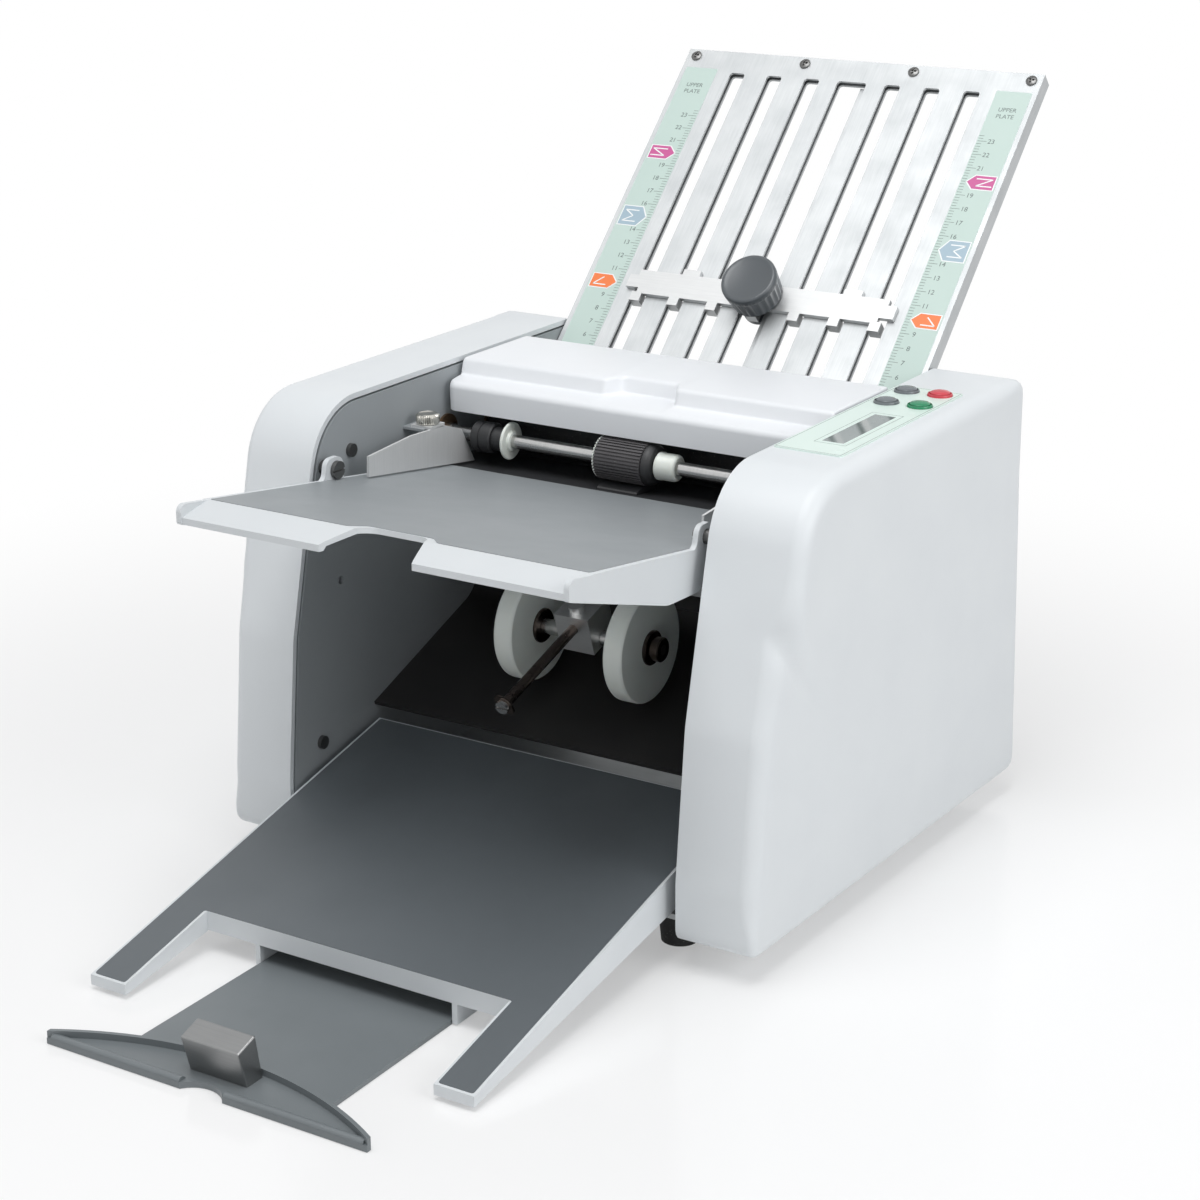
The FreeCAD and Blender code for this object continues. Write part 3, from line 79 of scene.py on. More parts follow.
UPPER_SLOPE = 44.8
on_upper_plate = leaning(113.6, 210.7, UPPER_SLOPE)
on_lower_plate = leaning(113.0, 158.0, -35.0)
on_press_rod = leaning(-98.8, 111.0, 17.8)
print("upper plate runs from", tuple(on_upper_plate(0, -14, 0)), "to",
      tuple(on_upper_plate(0, 282.5, 0)))

# %% [markdown]
# ## Two helpers for materials
# Screens show colour as sRGB, and light is added up in linear numbers, so one function turns a
# hex colour into the numbers that a shader wants. The other adds a node, sets it and links it
# in one go, which keeps a material as short as its description.

# %% Colours and nodes
def linear(hex_colour):
    """The linear colour that an sRGB hex value stands for."""
    shares = [int(hex_colour[i:i + 2], 16) / 255 for i in (1, 3, 5)]
    light = [s / 12.92 if s <= 0.04045 else ((s + 0.055) / 1.055) ** 2.4 for s in shares]
    return (*light, 1.0)


def add(tree, kind, sockets=None, **settings):
    """Adds one node; sockets maps an input to a number, a colour or the output that feeds it."""
    made = tree.nodes.new("ShaderNode" + kind)
    for name, setting in settings.items():
        setattr(made, name, setting)
    for socket, source in (sockets or {}).items():
        if isinstance(source, bpy.types.NodeSocket):
            tree.links.new(source, made.inputs[socket])
        else:
            made.inputs[socket].default_value = source
    return made


print("mid grey #808080 is", round(linear("#808080")[0], 3), "in linear light")

# %% [markdown]
# ## What all finishes share
# No real surface is one even colour: a moulding has faint flow marks, paint has thin and thick
# places, steel is stained by handling. So every material starts with a slow drift between two
# close colours. Its gloss drifts too, because hands polish some places more than others. On top
# comes a grain that belongs to the way the surface was made: a pattern of 0 to 1 that a bump node
# raises by so many millimetres. It is what tells plastic from paint or metal.

# %% The common start of a material
def surface(name, light, dark, roughness, cloud_mm=45, ior=1.5, metallic=0.0):
    """A new material, its shader, and the place and drift that its grain is built on."""
    material = bpy.data.materials.new(name)
    material.use_nodes = True
    tree = material.node_tree
    shader = tree.nodes["Principled BSDF"]
    shader.inputs["IOR"].default_value = ior
    shader.inputs["Metallic"].default_value = metallic
    place = add(tree, "TexCoord").outputs["Object"]
    drift = add(tree, "TexNoise", {"Vector": place, "Scale": 1000 / cloud_mm,
                                   "Detail": 3.0}).outputs[0]
    tint = add(tree, "Mix", {0: drift, 6: linear(light), 7: linear(dark)}, data_type="RGBA")
    tree.links.new(tint.outputs[2], shader.inputs["Base Color"])
    gloss = add(tree, "MapRange", {"Value": drift, "From Min": 0.3, "From Max": 0.7,
                                   "To Min": roughness * 0.9, "To Max": roughness * 1.1})
    tree.links.new(gloss.outputs[0], shader.inputs["Roughness"])
    return material, tree, shader, place


dressed = {}


def dress(slot_name, material):
    """Gives a finish to every part of the model that is made of it."""
    material["slot"] = slot_name
    dressed[slot_name] = material
    rows = frame["record"]["subparts"]
    parts = [row["node"] for row in rows if row["material_slot"] == slot_name]
    for name in parts:
        mesh = frame["nodes"][name].data
        mesh.materials.clear()
        mesh.materials.append(material)
    print(material.name, "on", ", ".join(parts))
    return material


# %% [markdown]
# ## Moulded plastics
# The covers are injection moulded ABS. The mould's steel is eroded by sparks, which leaves a fine
# even pebble on the plastic, about half a millimetre wide and a few hundredths deep. It breaks up
# reflections, so the covers look soft and matt although ABS itself is glossy. An image of the
# texture would work too; two noises do it without a seam on any face. The pebble is drawn 1.2 mm
# wide, because half a millimetre would vanish between two pixels.

# %% Moulded plastic
def moulded(name, light, dark, roughness, pebble_mm=1.2, depth_mm=0.02, ior=1.53):
    """Plastic from a spark-eroded mould."""
    material, tree, shader, place = surface(name, light, dark, roughness, ior=ior)
    pebble = add(tree, "TexNoise", {"Vector": place, "Scale": 1000 / pebble_mm, "Detail": 2.0})
    bump = add(tree, "Bump", {"Height": pebble.outputs[0], "Distance": depth_mm * MM})
    tree.links.new(bump.outputs[0], shader.inputs["Normal"])
    return material


dress("cover_plastic", moulded("moulded_abs_light_grey", "#DEE2E4", "#D8DCDF", 0.42))
dress("white_plastic", moulded("moulded_abs_white", "#ECEEF1", "#E6E9EC", 0.4))
dress("table_plastic", moulded("moulded_abs_table_white", "#D6DADC", "#CED2D5", 0.42))
dress("exit_plastic", moulded("moulded_abs_tray_white", "#DDE1E3", "#D5D9DC", 0.42))
dress("stopper_plastic", moulded("moulded_abs_stopper_grey", "#757B7E", "#6B7174", 0.45))
dress("knob_plastic", moulded("moulded_abs_slate", "#54595D", "#494E52", 0.3, 1.0, 0.012))
dress("pad_plastic", moulded("moulded_acetal_black", "#2E2F31", "#252628", 0.45))
dress("pulley_plastic", moulded("moulded_glass_filled_nylon", "#2A2B2D", "#212224", 0.5, 1.0, 0.03))
dress("inlet_plastic", moulded("moulded_pbt_black", "#191A1B", "#121314", 0.35))

# %% [markdown]
# Gears, bushes on the feed shaft and the press wheels are natural engineering plastics, nylon and
# a soft polyurethane. They are slightly see-through: light goes in a little way and comes out
# again, which blurs small shadows. Subsurface scattering says exactly that, with the distance
# in metres.

# %% Natural nylon and polyurethane
def milky(name, light, dark, roughness, reach_mm):
    """A pale plastic that light enters for a short way."""
    material, tree, shader, place = surface(name, light, dark, roughness, cloud_mm=18, ior=1.53)
    shader.inputs["Subsurface Weight"].default_value = 0.25
    shader.inputs["Subsurface Radius"].default_value = (1.0, 0.9, 0.8)
    shader.inputs["Subsurface Scale"].default_value = reach_mm * MM
    skin = add(tree, "TexNoise", {"Vector": place, "Scale": 1000 / 2.5, "Detail": 4.0})
    bump = add(tree, "Bump", {"Height": skin.outputs[0], "Distance": 0.03 * MM})
    tree.links.new(bump.outputs[0], shader.inputs["Normal"])
    return material


dress("gear_nylon", milky("natural_nylon", "#E6EAE4", "#DADFD8", 0.38, 1.5))
dress("wheel_plastic", milky("cast_polyurethane", "#F0F4EF", "#E4EAE4", 0.42, 1.0))

# %% [markdown]
# ## Brushed and rolled metal
# A brushed sheet is drawn under an abrasive belt: the scratches run one way, some tenths of a
# millimetre apart and centimetres long. They spread a highlight across their own direction.
# Stretching the coordinates before a noise gives such lines; they are drawn about 0.8 mm apart,
# coarser than real, so that they can be seen. The plates have also been handled, which leaves
# slow milky stains that dull the gloss. The paper guides are set only half metallic, so half of
# their pale colour is plain diffuse: a painted reflection that keeps them bright from every side.

# %% Brushed metal
def brushed(name, light, dark, roughness, stretch, turn=0.0, line_mm=0.8, depth_mm=0.006,
            stain_mm=22):
    """Metal with scratches along one axis; stretch is how fast the pattern runs on each axis."""
    material, tree, shader, place = surface(name, light, dark, roughness, cloud_mm=stain_mm,
                                            metallic=1.0)
    lines = add(tree, "Mapping", {"Vector": place, "Rotation": (math.radians(turn), 0, 0)})
    drawn = add(tree, "Mapping", {"Vector": lines.outputs[0], "Scale": stretch})
    scratch = add(tree, "TexNoise", {"Vector": drawn.outputs[0], "Scale": 1000 / line_mm,
                                     "Detail": 3.0, "Roughness": 0.65}).outputs[0]
    bump = add(tree, "Bump", {"Height": scratch, "Distance": depth_mm * MM})
    tree.links.new(bump.outputs[0], shader.inputs["Normal"])
    streak = add(tree, "Mix", {0: scratch, 6: linear(dark), 7: linear(light)}, data_type="RGBA")
    stain = shader.inputs["Base Color"].links[0].from_socket
    both = add(tree, "Mix", {0: 0.5, 6: stain, 7: streak.outputs[2]}, data_type="RGBA")
    tree.links.new(both.outputs[2], shader.inputs["Base Color"])
    return material


ALONG_PLATE = (1.0, 0.03, 1.0)
ALONG_BAR = (0.03, 1.0, 1.0)
UPRIGHT = (1.0, 1.0, 0.03)
dress("plate_aluminium", brushed("brushed_aluminium_plate", "#CED0D1", "#A4A8AA", 0.54,
                                 ALONG_PLATE, -UPPER_SLOPE))
dress("stop_steel", brushed("brushed_stainless_bar", "#D6D7D7", "#B4B6B7", 0.42, ALONG_BAR))
# The guides are made half metallic below: their pale diffuse half is a painted reflection, bright
# from every side.
guide_painted_reflection = dress("guide_steel", brushed("brushed_guide_steel_painted_reflection", "#E8E9E9", "#C8CACB", 0.5, UPRIGHT))
guide_painted_reflection.node_tree.nodes["Principled BSDF"].inputs["Metallic"].default_value = 0.5
dress("block_steel", brushed("brushed_steel_block", "#9A9B9B", "#7C7D7E", 0.35, ALONG_BAR))
dress("bracket_aluminium", brushed("milled_aluminium", "#EDEDEC", "#CCCDCD", 0.36, ALONG_BAR,
                                   line_mm=1.2, depth_mm=0.02))
dress("zinc_steel", brushed("zinc_plated_sheet", "#BFC2C3", "#A4A8AA", 0.45, ALONG_BAR,
                            line_mm=2.0, depth_mm=0.005))

# %% [markdown]
# Shafts and screws are turned on a lathe. The tool leaves rings around the axis, so their pattern
# runs fast along the shaft and not at all around it. All shafts of this machine lie across it, so
# a noise that only looks at x is enough. Nickel and bronze differ in colour and in how worn they
# look, not in pattern.

# %% Turned metal
def turned(name, light, dark, roughness, fast_axis=(1.0, 0.04, 0.04), ring_mm=0.7):
    """Metal with fine lathe rings."""
    return brushed(name, light, dark, roughness, fast_axis, line_mm=ring_mm, depth_mm=0.004,
                   stain_mm=14)


ALONG_ROD = (0.04, 1.0, 0.3)
dress("shaft_steel", turned("ground_steel_shaft", "#CBCBCA", "#A5A5A5", 0.25))
dress("screw_steel", turned("zinc_plated_screw", "#7E7E7D", "#5E5E5E", 0.35))
dress("screw_nickel", turned("nickel_plated_brass", "#D8D6CF", "#B9B7B0", 0.22, (0.04, 0.04, 1.0)))
dress("bush_bronze", turned("sintered_bronze", "#7A6450", "#5E4C3C", 0.5))
dress("rod_black", turned("burnished_steel_rod", "#6A605B", "#453D39", 0.26, ALONG_ROD))

# %% [markdown]
# ## Paint
# The steel walls inside are powder coated mid grey, and the motor and the guide plates are dark.
# On the exit chute this black is painted shade: it stands for the dark of the interior around it.
# Powder melts into a skin with a gentle orange peel, waves of one to three millimetres and much
# shallower than they are wide.

# %% Powder coat
def powder_coated(name, light, dark, roughness, peel_mm=2.4):
    """Sheet steel under powder coat, with its orange peel."""
    material, tree, shader, place = surface(name, light, dark, roughness, cloud_mm=60)
    peel = add(tree, "TexNoise", {"Vector": place, "Scale": 1000 / peel_mm, "Detail": 1.0})
    bump = add(tree, "Bump", {"Height": peel.outputs[0], "Distance": 0.03 * MM})
    tree.links.new(bump.outputs[0], shader.inputs["Normal"])
    return material


dress("wall_paint", powder_coated("powder_coat_mid_grey", "#9DA2A5", "#94999C", 0.5))
# Black powder coat: the motor's own colour, and painted shade on the exit chute.
dress("motor_shell", powder_coated("powder_coat_black_and_painted_shade", "#2B2A2A", "#222121", 0.45))

# %% [markdown]
# ## Rubber
# The feed tyre and the fold rollers grip paper, so their rubber is ground rough. Ground rubber is
# almost black, dry looking and dusted with paper lint, which shows as faint pale specks.

# %% Ground rubber
def ground_rubber(name, light, dark, roughness, lint="#8C8C88"):
    """Rubber with a ground skin and a little paper dust in it."""
    material, tree, shader, place = surface(name, light, dark, roughness, cloud_mm=12, ior=1.52)
    grit = add(tree, "TexNoise", {"Vector": place, "Scale": 1000 / 0.9, "Detail": 4.0}).outputs[0]
    bump = add(tree, "Bump", {"Height": grit, "Distance": 0.06 * MM})
    tree.links.new(bump.outputs[0], shader.inputs["Normal"])
    speck = add(tree, "MapRange", {"Value": grit, "From Min": 0.62, "From Max": 0.75,
                                   "To Min": 0.0, "To Max": 0.5})
    base = shader.inputs["Base Color"].links[0].from_socket
    dusty = add(tree, "Mix", {0: speck.outputs[0], 6: base, 7: linear(lint)}, data_type="RGBA")
    tree.links.new(dusty.outputs[2], shader.inputs["Base Color"])
    return material


dress("tyre_rubber", ground_rubber("ground_natural_rubber", "#545254", "#434143", 0.55))
dress("roller_rubber", ground_rubber("ground_polyurethane_roller", "#2E2F31", "#222325", 0.65))
dress("foot_rubber", ground_rubber("moulded_foot_rubber", "#1C1D1E", "#141516", 0.75))
dress("belt_rubber", ground_rubber("belt_neoprene", "#1A1A1B", "#121213", 0.6))

# %% [markdown]
# ## The control panel
# The pad around the keys is a polyester film, printed pale mint on its back and lightly textured
# on its front, so it is a bit glossier than the cover. The keys are caps of moulded ABS with a
# smooth dome. The display window is a tinted acrylic pane over a dark module: nearly black and
# mirror smooth. The board under it is ordinary green laminate, woven glass under lacquer.

# %% Film, keys, window and board
dress("panel_film", moulded("printed_polyester_film", "#DFEFE8", "#D9EAE2", 0.3, 0.9, 0.006, 1.58))
dress("key_grey", moulded("gloss_abs_grey", "#6E7478", "#666C70", 0.22, 1.5, 0.004))
dress("key_green", moulded("gloss_abs_green", "#1F8A5E", "#1A7E55", 0.22, 1.5, 0.004))
dress("key_red", moulded("gloss_abs_red", "#D2434F", "#C53A46", 0.22, 1.5, 0.004))


def tinted_pane():
    """Smoked acrylic: the colour comes from the display below, the gloss from its hard coat."""
    material, _, shader, _ = surface("tinted_acrylic", "#7F8A87", "#6C7775", 0.06, 30, 1.49)
    shader.inputs["Coat Weight"].default_value = 0.6
    shader.inputs["Coat Roughness"].default_value = 0.03
    return material


def laminate():
    """Green lacquered board whose glass weave shows as small squares."""
    material, tree, shader, place = surface("glass_epoxy_laminate", "#1F6B3D", "#185A32", 0.3, 10)
    weave = add(tree, "TexChecker", {"Vector": place, "Scale": 1000 / 1.6})
    bump = add(tree, "Bump", {"Height": weave.outputs[1], "Distance": 0.01 * MM})
    tree.links.new(bump.outputs[0], shader.inputs["Normal"])
    return material


dress("window_acrylic", tinted_pane())
dress("board_laminate", laminate())

# %% [markdown]
# ## Turning outlines into pieces
# Most small forms here are either an outline pushed through a thickness or a profile spun about
# an axis. Both are a few lines of mesh code, and drawing them from points keeps every size
# readable. A boolean would cost more faces and leave slivers. Each piece is smooth shaded, with
# edges kept sharp where two faces meet at more than 35 degrees, and then rides on the body that
# carries it.

# %% Mesh helpers
def finish_piece(bm, name, body, slot_name, stands_for=(), material=None, crease=35):
    """Makes the piece from its mesh, gives it its finish and lets it ride on a body."""
    bmesh.ops.remove_doubles(bm, verts=bm.verts, dist=1e-6)
    bmesh.ops.recalc_face_normals(bm, faces=bm.faces)
    mesh = bpy.data.meshes.new(name)
    bm.to_mesh(mesh)
    bm.free()
    mesh.shade_smooth()
    mesh.set_sharp_from_angle(angle=math.radians(crease))
    mesh.materials.append(material or dressed[slot_name])
    piece = bpy.data.objects.new(name, mesh)
    bpy.context.scene.collection.objects.link(piece)
    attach(piece, body)
    if stands_for:
        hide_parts(*stands_for)
    print(name, "has", len(mesh.polygons), "faces")


def prism(bm, outline, low, high, spot):
    """Pushes a flat outline from low to high; spot turns (a, b, height) into a place."""
    rings = [[bm.verts.new(spot(a, b, h)) for a, b in outline] for h in (low, high)]
    bm.faces.new(rings[0])
    bm.faces.new(rings[1])
    count = len(outline)
    for i in range(count):
        j = (i + 1) % count
        bm.faces.new((rings[0][i], rings[0][j], rings[1][j], rings[1][i]))


def lathe(bm, profile, spot, steps=64, flute=None):
    """Spins (radius, height) pairs about an axis; flute may change a radius by angle."""
    rings = []
    for radius, height in profile:
        if radius == 0:
            rings.append([bm.verts.new(spot(0, 0, height))] * steps)
            continue
        ring = []
        for i in range(steps):
            angle = 2 * math.pi * i / steps
            reach = flute(radius, height, angle) if flute else radius
            a, b = reach * math.cos(angle), reach * math.sin(angle)
            ring.append(bm.verts.new(spot(a, b, height)))
        rings.append(ring)
    for lower, upper in zip(rings, rings[1:]):
        for i in range(steps):
            j = (i + 1) % steps
            corners = []
            for vert in (lower[i], lower[j], upper[j], upper[i]):
                if vert not in corners:
                    corners.append(vert)
            if len(corners) > 2:
                bm.faces.new(corners)


def rounded_outline(points, radius, steps=4):
    """The outline with every corner turned into a short arc."""
    made = []
    count = len(points)
    for i in range(count):
        before, corner, after = (Vector(points[k % count]) for k in (i - 1, i, i + 1))
        back, ahead = before - corner, after - corner
        reach = min(radius, back.length / 2.01, ahead.length / 2.01)
        start = corner + back.normalized() * reach
        end = corner + ahead.normalized() * reach
        for k in range(steps + 1):
            t = k / steps
            made.append(tuple((1 - t) ** 2 * start + 2 * t * (1 - t) * corner + t * t * end))
    return made


square = [(0, 0), (10, 0), (10, 10), (0, 10)]
print("a square's four corners become", len(rounded_outline(square, 1.0)), "points")

# %% [markdown]
# ## The upper fold plate's scales
# Along both edges of the plate lies a strip of pale mint film with a centimetre scale, so that
# the paper stop can be set without measuring. The figures are generic ruler numbers. Coloured
# arrows mark where the stop goes for the common folds. The print could be painted with nodes,
# but ticks and figures stay sharper as very thin solids, a few hundredths of a millimetre proud.

# %% Film strips and ticks
STRIP_INNER, STRIP_OUTER = 96.8, 120.0
STRIP_LOW, STRIP_TOP = 2.0, 268.0
FILM, INK = 0.12, 0.05
ink = moulded("printed_ink_grey", "#6E7A78", "#66726F", 0.4, 1.0, 0.002)
mint = moulded("printed_scale_film", "#C4D6CF", "#BED1CA", 0.5, 0.9, 0.006, 1.58)

bm = bmesh.new()
for side in (-1, 1):
    near, far = sorted((side * STRIP_INNER, side * STRIP_OUTER))
    corners = [(near, STRIP_LOW), (far, STRIP_LOW), (far, STRIP_TOP), (near, STRIP_TOP)]
    prism(bm, rounded_outline(corners, 1.0), 0.0, FILM, on_upper_plate)
finish_piece(bm, "upper_scale_strips", "upper_plate", "panel_film", material=mint)

bm = bmesh.new()
tick_start, tick_half = STRIP_INNER + 0.4, 0.14
for side in (-1, 1):
    for millimetre in range(40, 236, 2):
        length = 6.0 if millimetre % 10 == 0 else 3.2
        near, far = sorted((side * tick_start, side * (tick_start + length)))
        low, high = millimetre - tick_half, millimetre + tick_half
        corners = [(near, low), (far, low), (far, high), (near, high)]
        prism(bm, corners, FILM, FILM + INK, on_upper_plate)
finish_piece(bm, "upper_scale_ticks", "upper_plate", "panel_film", material=ink)

# %% [markdown]
# Figures come from Blender's own font. A text object is laid out flat, turned into a mesh, and its
# points are then placed on the plate like any other outline. All figures and the two words at
# the head of each scale become one piece. Where an arrow lies over a tick, its figure is left out.

# %% Figures of the scale
UNDER_ARROWS = (10, 15, 20)


def add_text(bm, text, size, middle, spot, thickness):
    """Writes a text around the point middle of a drawing plane, as a thin solid."""
    curve = bpy.data.curves.new("figure", "FONT")
    curve.body = text
    curve.size = size
    curve.align_x, curve.align_y = "CENTER", "CENTER"
    curve.extrude = thickness / 2
    holder = bpy.data.objects.new("figure", curve)
    bpy.context.scene.collection.objects.link(holder)
    state = bpy.context.evaluated_depsgraph_get()
    mesh = bpy.data.meshes.new_from_object(holder.evaluated_get(state))
    across, along, off = middle
    for vert in mesh.vertices:
        vert.co = spot(across + vert.co.x, along + vert.co.y, off + thickness / 2 + vert.co.z)
    bm.from_mesh(mesh)
    bpy.data.objects.remove(holder)
    bpy.data.meshes.remove(mesh)
    bpy.data.curves.remove(curve)


bm = bmesh.new()
for side in (-1, 1):
    for centimetre in range(4, 24):
        if centimetre not in UNDER_ARROWS:
            middle = (side * (STRIP_INNER + 9.4), centimetre * 10, FILM)
            add_text(bm, str(centimetre), 4.6, middle, on_upper_plate, INK)
for side in (-1, 1):
    for row, word in enumerate(("UPPER", "PLATE")):
        middle = (side * (STRIP_INNER + STRIP_OUTER) / 2, 254.0 - 5.0 * row, FILM)
        add_text(bm, word, 4.2, middle, on_upper_plate, INK)
finish_piece(bm, "upper_scale_figures", "upper_plate", "panel_film", material=ink)

# %% [markdown]
# Each arrow is a pentagon that points at its tick, with a thin white picture of the folded sheet
# on it: a zigzag for a letter fold, an open V for a single fold.

# %% Fold arrows
ARROWS = (
    ("magenta", 200, 4.8, "#C75A95", [(-5.5, 2.6), (5.0, 2.6), (-4.5, -2.6), (5.5, -2.6)]),
    ("blue", 150, 7.0, "#A3B9C6", [(-5.0, 4.2), (4.5, 4.2), (-2.0, 0.0), (4.5, -4.2),
                                   (-5.0, -4.2)]),
    ("orange", 100, 4.8, "#F07F45", [(-4.5, -2.8), (4.5, -2.8), (-1.5, 2.8)]),
)
ARROW_TIP, ARROW_SHOULDER, ARROW_TAIL, ARROW_MIDDLE = 101.0, 105.5, 118.5, 112.0


def stroke(bm, points, width, low, high, spot):
    """A line of a given width through some points, as a thin solid per run."""
    for start, end in zip(points, points[1:]):
        run = Vector(end) - Vector(start)
        edge = Vector((-run.y, run.x)).normalized() * width / 2
        one, other = Vector(start), Vector(end)
        corners = (one + edge, other + edge, other - edge, one - edge)
        prism(bm, [tuple(c) for c in corners], low, high, spot)


BORDER = (0.7, 0.4, 1.1)


def arrow_outline(side, height, half, edge=0.0, neck=0.0, point=0.0):
    """A pentagon that points inwards; the last three let a border stand out around it."""
    half, tail = half + edge, ARROW_TAIL + edge
    shoulder, tip = ARROW_SHOULDER - neck, ARROW_TIP - point
    shape = [(tail, -half), (shoulder, -half), (tip, 0), (shoulder, half), (tail, half)]
    return [(side * a, height + b) for a, b in shape]


white_ink = moulded("printed_ink_white", "#F4F6F6", "#EDEFEF", 0.4, 1.0, 0.002)
for colour_name, height, half, colour, picture in ARROWS:
    paint = moulded("printed_ink_" + colour_name, colour, colour, 0.35, 1.0, 0.002)
    bm = bmesh.new()
    lines = bmesh.new()
    for side in (-1, 1):
        arrow = arrow_outline(side, height, half)
        prism(bm, arrow, FILM + INK, FILM + 2 * INK, on_upper_plate)
        border = arrow_outline(side, height, half, *BORDER)
        prism(lines, border, FILM, FILM + INK, on_upper_plate)
        drawn = [(side * (ARROW_MIDDLE + a), height + b) for a, b in picture]
        stroke(lines, drawn, 0.8, FILM + 2 * INK, FILM + 3 * INK, on_upper_plate)
    for shape, name, printed in ((bm, "fold_arrow_", paint), (lines, "fold_picture_", white_ink)):
        finish_piece(shape, name + colour_name, "upper_plate", "panel_film", material=printed)

# %% [markdown]
# Behind the wide middle slot runs a narrow bent rail that steadies the stem of the knob. It is a
# shallow angle: a flat strip with one edge turned towards the viewer.

# %% Rail in the middle slot
RAIL_LOW, RAIL_TOP = 31.0, 265.0
bm = bmesh.new()
angle = [(4.4, -5.4), (9.8, -5.4), (9.8, -4.2), (9.3, -4.2), (9.3, -4.9), (4.4, -4.9)]
prism(bm, angle, RAIL_LOW, RAIL_TOP, lambda a, b, h: on_upper_plate(a, h, b))
finish_piece(bm, "middle_slot_rail", "upper_plate", "plate_aluminium")

# %% [markdown]
# ## Knobs
# The paper stop is clamped by a slate grey knob with a smooth domed top and a fluted skirt, so
# that it can be gripped with dry fingers. A lathe profile gives the body. The flutes are shallow
# hollows around the skirt: the radius dips with the angle, and fades out towards the dome.

# %% Fluted knobs
def fluted(flutes, depth, skirt_low, skirt_high):
    """A radius that dips between skirt_low and skirt_high, as often as there are flutes."""
    def radius_at(radius, height, angle):
        if not skirt_low <= height <= skirt_high:
            return radius
        return radius - depth * (0.5 + 0.5 * math.cos(flutes * angle)) ** 0.6
    return radius_at


STEM, CLAMP, CLAMP_THICK = 4.0, 13.0, 2.5
FLUTES, FLUTE_DEPTH = 24, 0.6


def knob(name, stands_for, spot, middle, radius, seat, height, under):
    """A clamping knob: the grip over the bar, the stem in the slot and the disc behind."""
    top = seat + height
    foot = radius - 1.4
    behind = under + CLAMP_THICK
    profile = [(0, under), (CLAMP, under), (CLAMP, behind), (STEM, behind), (STEM, seat),
               (foot - 1.0, seat), (foot - 0.2, seat + 0.8), (foot, seat + 1.6),
               (radius - 0.3, top - 6.0), (radius - 0.1, top - 5.0), (radius, top - 4.2),
               (radius, top - 1.6), (radius - 0.4, top - 0.7), (radius - 1.1, top - 0.15),
               (radius - 2.0, top), (radius - 3.0, top - 0.25), (radius - 5.0, top - 0.7),
               (0, top - 1.2)]
    bm = bmesh.new()
    lathe(bm, profile, lambda a, b, h: spot(a, middle + b, h), 192,
          fluted(FLUTES, FLUTE_DEPTH, seat + 1.5, top - 4.9))
    finish_piece(bm, name, name, "knob_plastic", [stands_for])


knob("upper_knob", "upper_stop_knob", on_upper_plate, 101.0, 17.4, 3.4, 18.5, -8.3)
knob("lower_knob", "lower_stop_knob", on_lower_plate, 104.5, 15.0, 6.15, 16.0, -5.55)

# %% [markdown]
# ## Thumb screws of the paper guides
# Each side guide is held by a nickel plated screw with a straight knurl. A knurl is cut with a
# toothed wheel, so its ridges are pointed: the radius follows a zigzag, not a wave.

# %% Knurled screws
def knurled(teeth, depth, low, high):
    """A radius that zigzags around the head between two heights."""
    def radius_at(radius, height, angle):
        if not low <= height <= high:
            return radius
        share = (angle * teeth / (2 * math.pi)) % 1
        return radius - depth * abs(2 * share - 1)
    return radius_at


SCREW_X, SCREW_Y, HEAD_LOW = 112.0, -3.8, 231.7
head = [(5.0, 0), (6.3, 0.3), (6.85, 0.8), (6.85, 5.0), (6.2, 5.7), (5.2, 6.0), (4.6, 5.6),
        (0, 5.5)]
for side, name in ((-1, "left"), (1, "right")):
    profile = [(0, 224.6), (1.6, 224.6), (2.0, 225.2), (2.0, HEAD_LOW)]
    profile += [(r, HEAD_LOW + h) for r, h in head]
    bm = bmesh.new()
    lathe(bm, profile, lambda a, b, h: machine(side * SCREW_X + a, SCREW_Y + b, h), 144,
          knurled(36, 0.55, HEAD_LOW + 0.7, HEAD_LOW + 5.1))
    screw = name + "_thumb_screw"
    finish_piece(bm, screw, screw, "screw_nickel", [name + "_guide_screw"])

# %% [markdown]
# ## Screw heads
# Pan heads with a cross recess hold the walls and the top of the fold plate. The recess is what
# the eye looks for. A fine disc of rings and spokes takes the dome's height, and where a point
# lies inside the cross, its height drops to the bottom of the recess.

# %% Cross recessed heads
def cross_head(bm, radius, height, spot, recess=0.62, arm=0.15):
    """A pan head whose middle is cut by a cross; recess and arm are shares of its radius."""
    rings, spokes = 14, 48

    def level(a, b):
        share = min(1.0, math.hypot(a, b) / radius)
        dome = height * (1 - 0.45 * share ** 3)
        long_way, short_way = max(abs(a), abs(b)), min(abs(a), abs(b))
        if short_way < arm * radius and long_way < recess * radius:
            return dome - height * 0.7 * (1 - long_way / radius)
        return dome
    turns = [2 * math.pi * k / spokes for k in range(spokes)]
    grid = [[(reach * math.cos(turn), reach * math.sin(turn)) for turn in turns]
            for reach in (radius * ring / rings for ring in range(1, rings + 1))]
    made = [[bm.verts.new(spot(a, b, level(a, b))) for a, b in ring] for ring in grid]
    middle = bm.verts.new(spot(0, 0, level(0, 0)))
    skirt = [bm.verts.new(spot(a, b, 0)) for a, b in grid[-1]]
    for k in range(spokes):
        j = (k + 1) % spokes
        bm.faces.new((middle, made[0][k], made[0][j]))
        for inner, outer in zip(made, made[1:]):
            bm.faces.new((inner[k], outer[k], outer[j], inner[j]))
        bm.faces.new((made[-1][k], skirt[k], skirt[j], made[-1][j]))
    bm.faces.new(skirt)


PLATE_SCREWS, SCREW_ROW = (-116.3, -37.4, 38.1, 116.3), 277.0
stem = [(0, -5.5), (1.9, -5.5), (1.9, 0.0), (0, 0.0)]
bm = bmesh.new()
for across in PLATE_SCREWS:
    def at_screw(a, b, h):
        return on_upper_plate(across + a, SCREW_ROW + b, h)
    cross_head(bm, 3.5, 1.6, at_screw)
    lathe(bm, stem, at_screw, 24)
finish_piece(bm, "plate_screws", "upper_plate", "screw_steel", ["upper_plate_screws"])

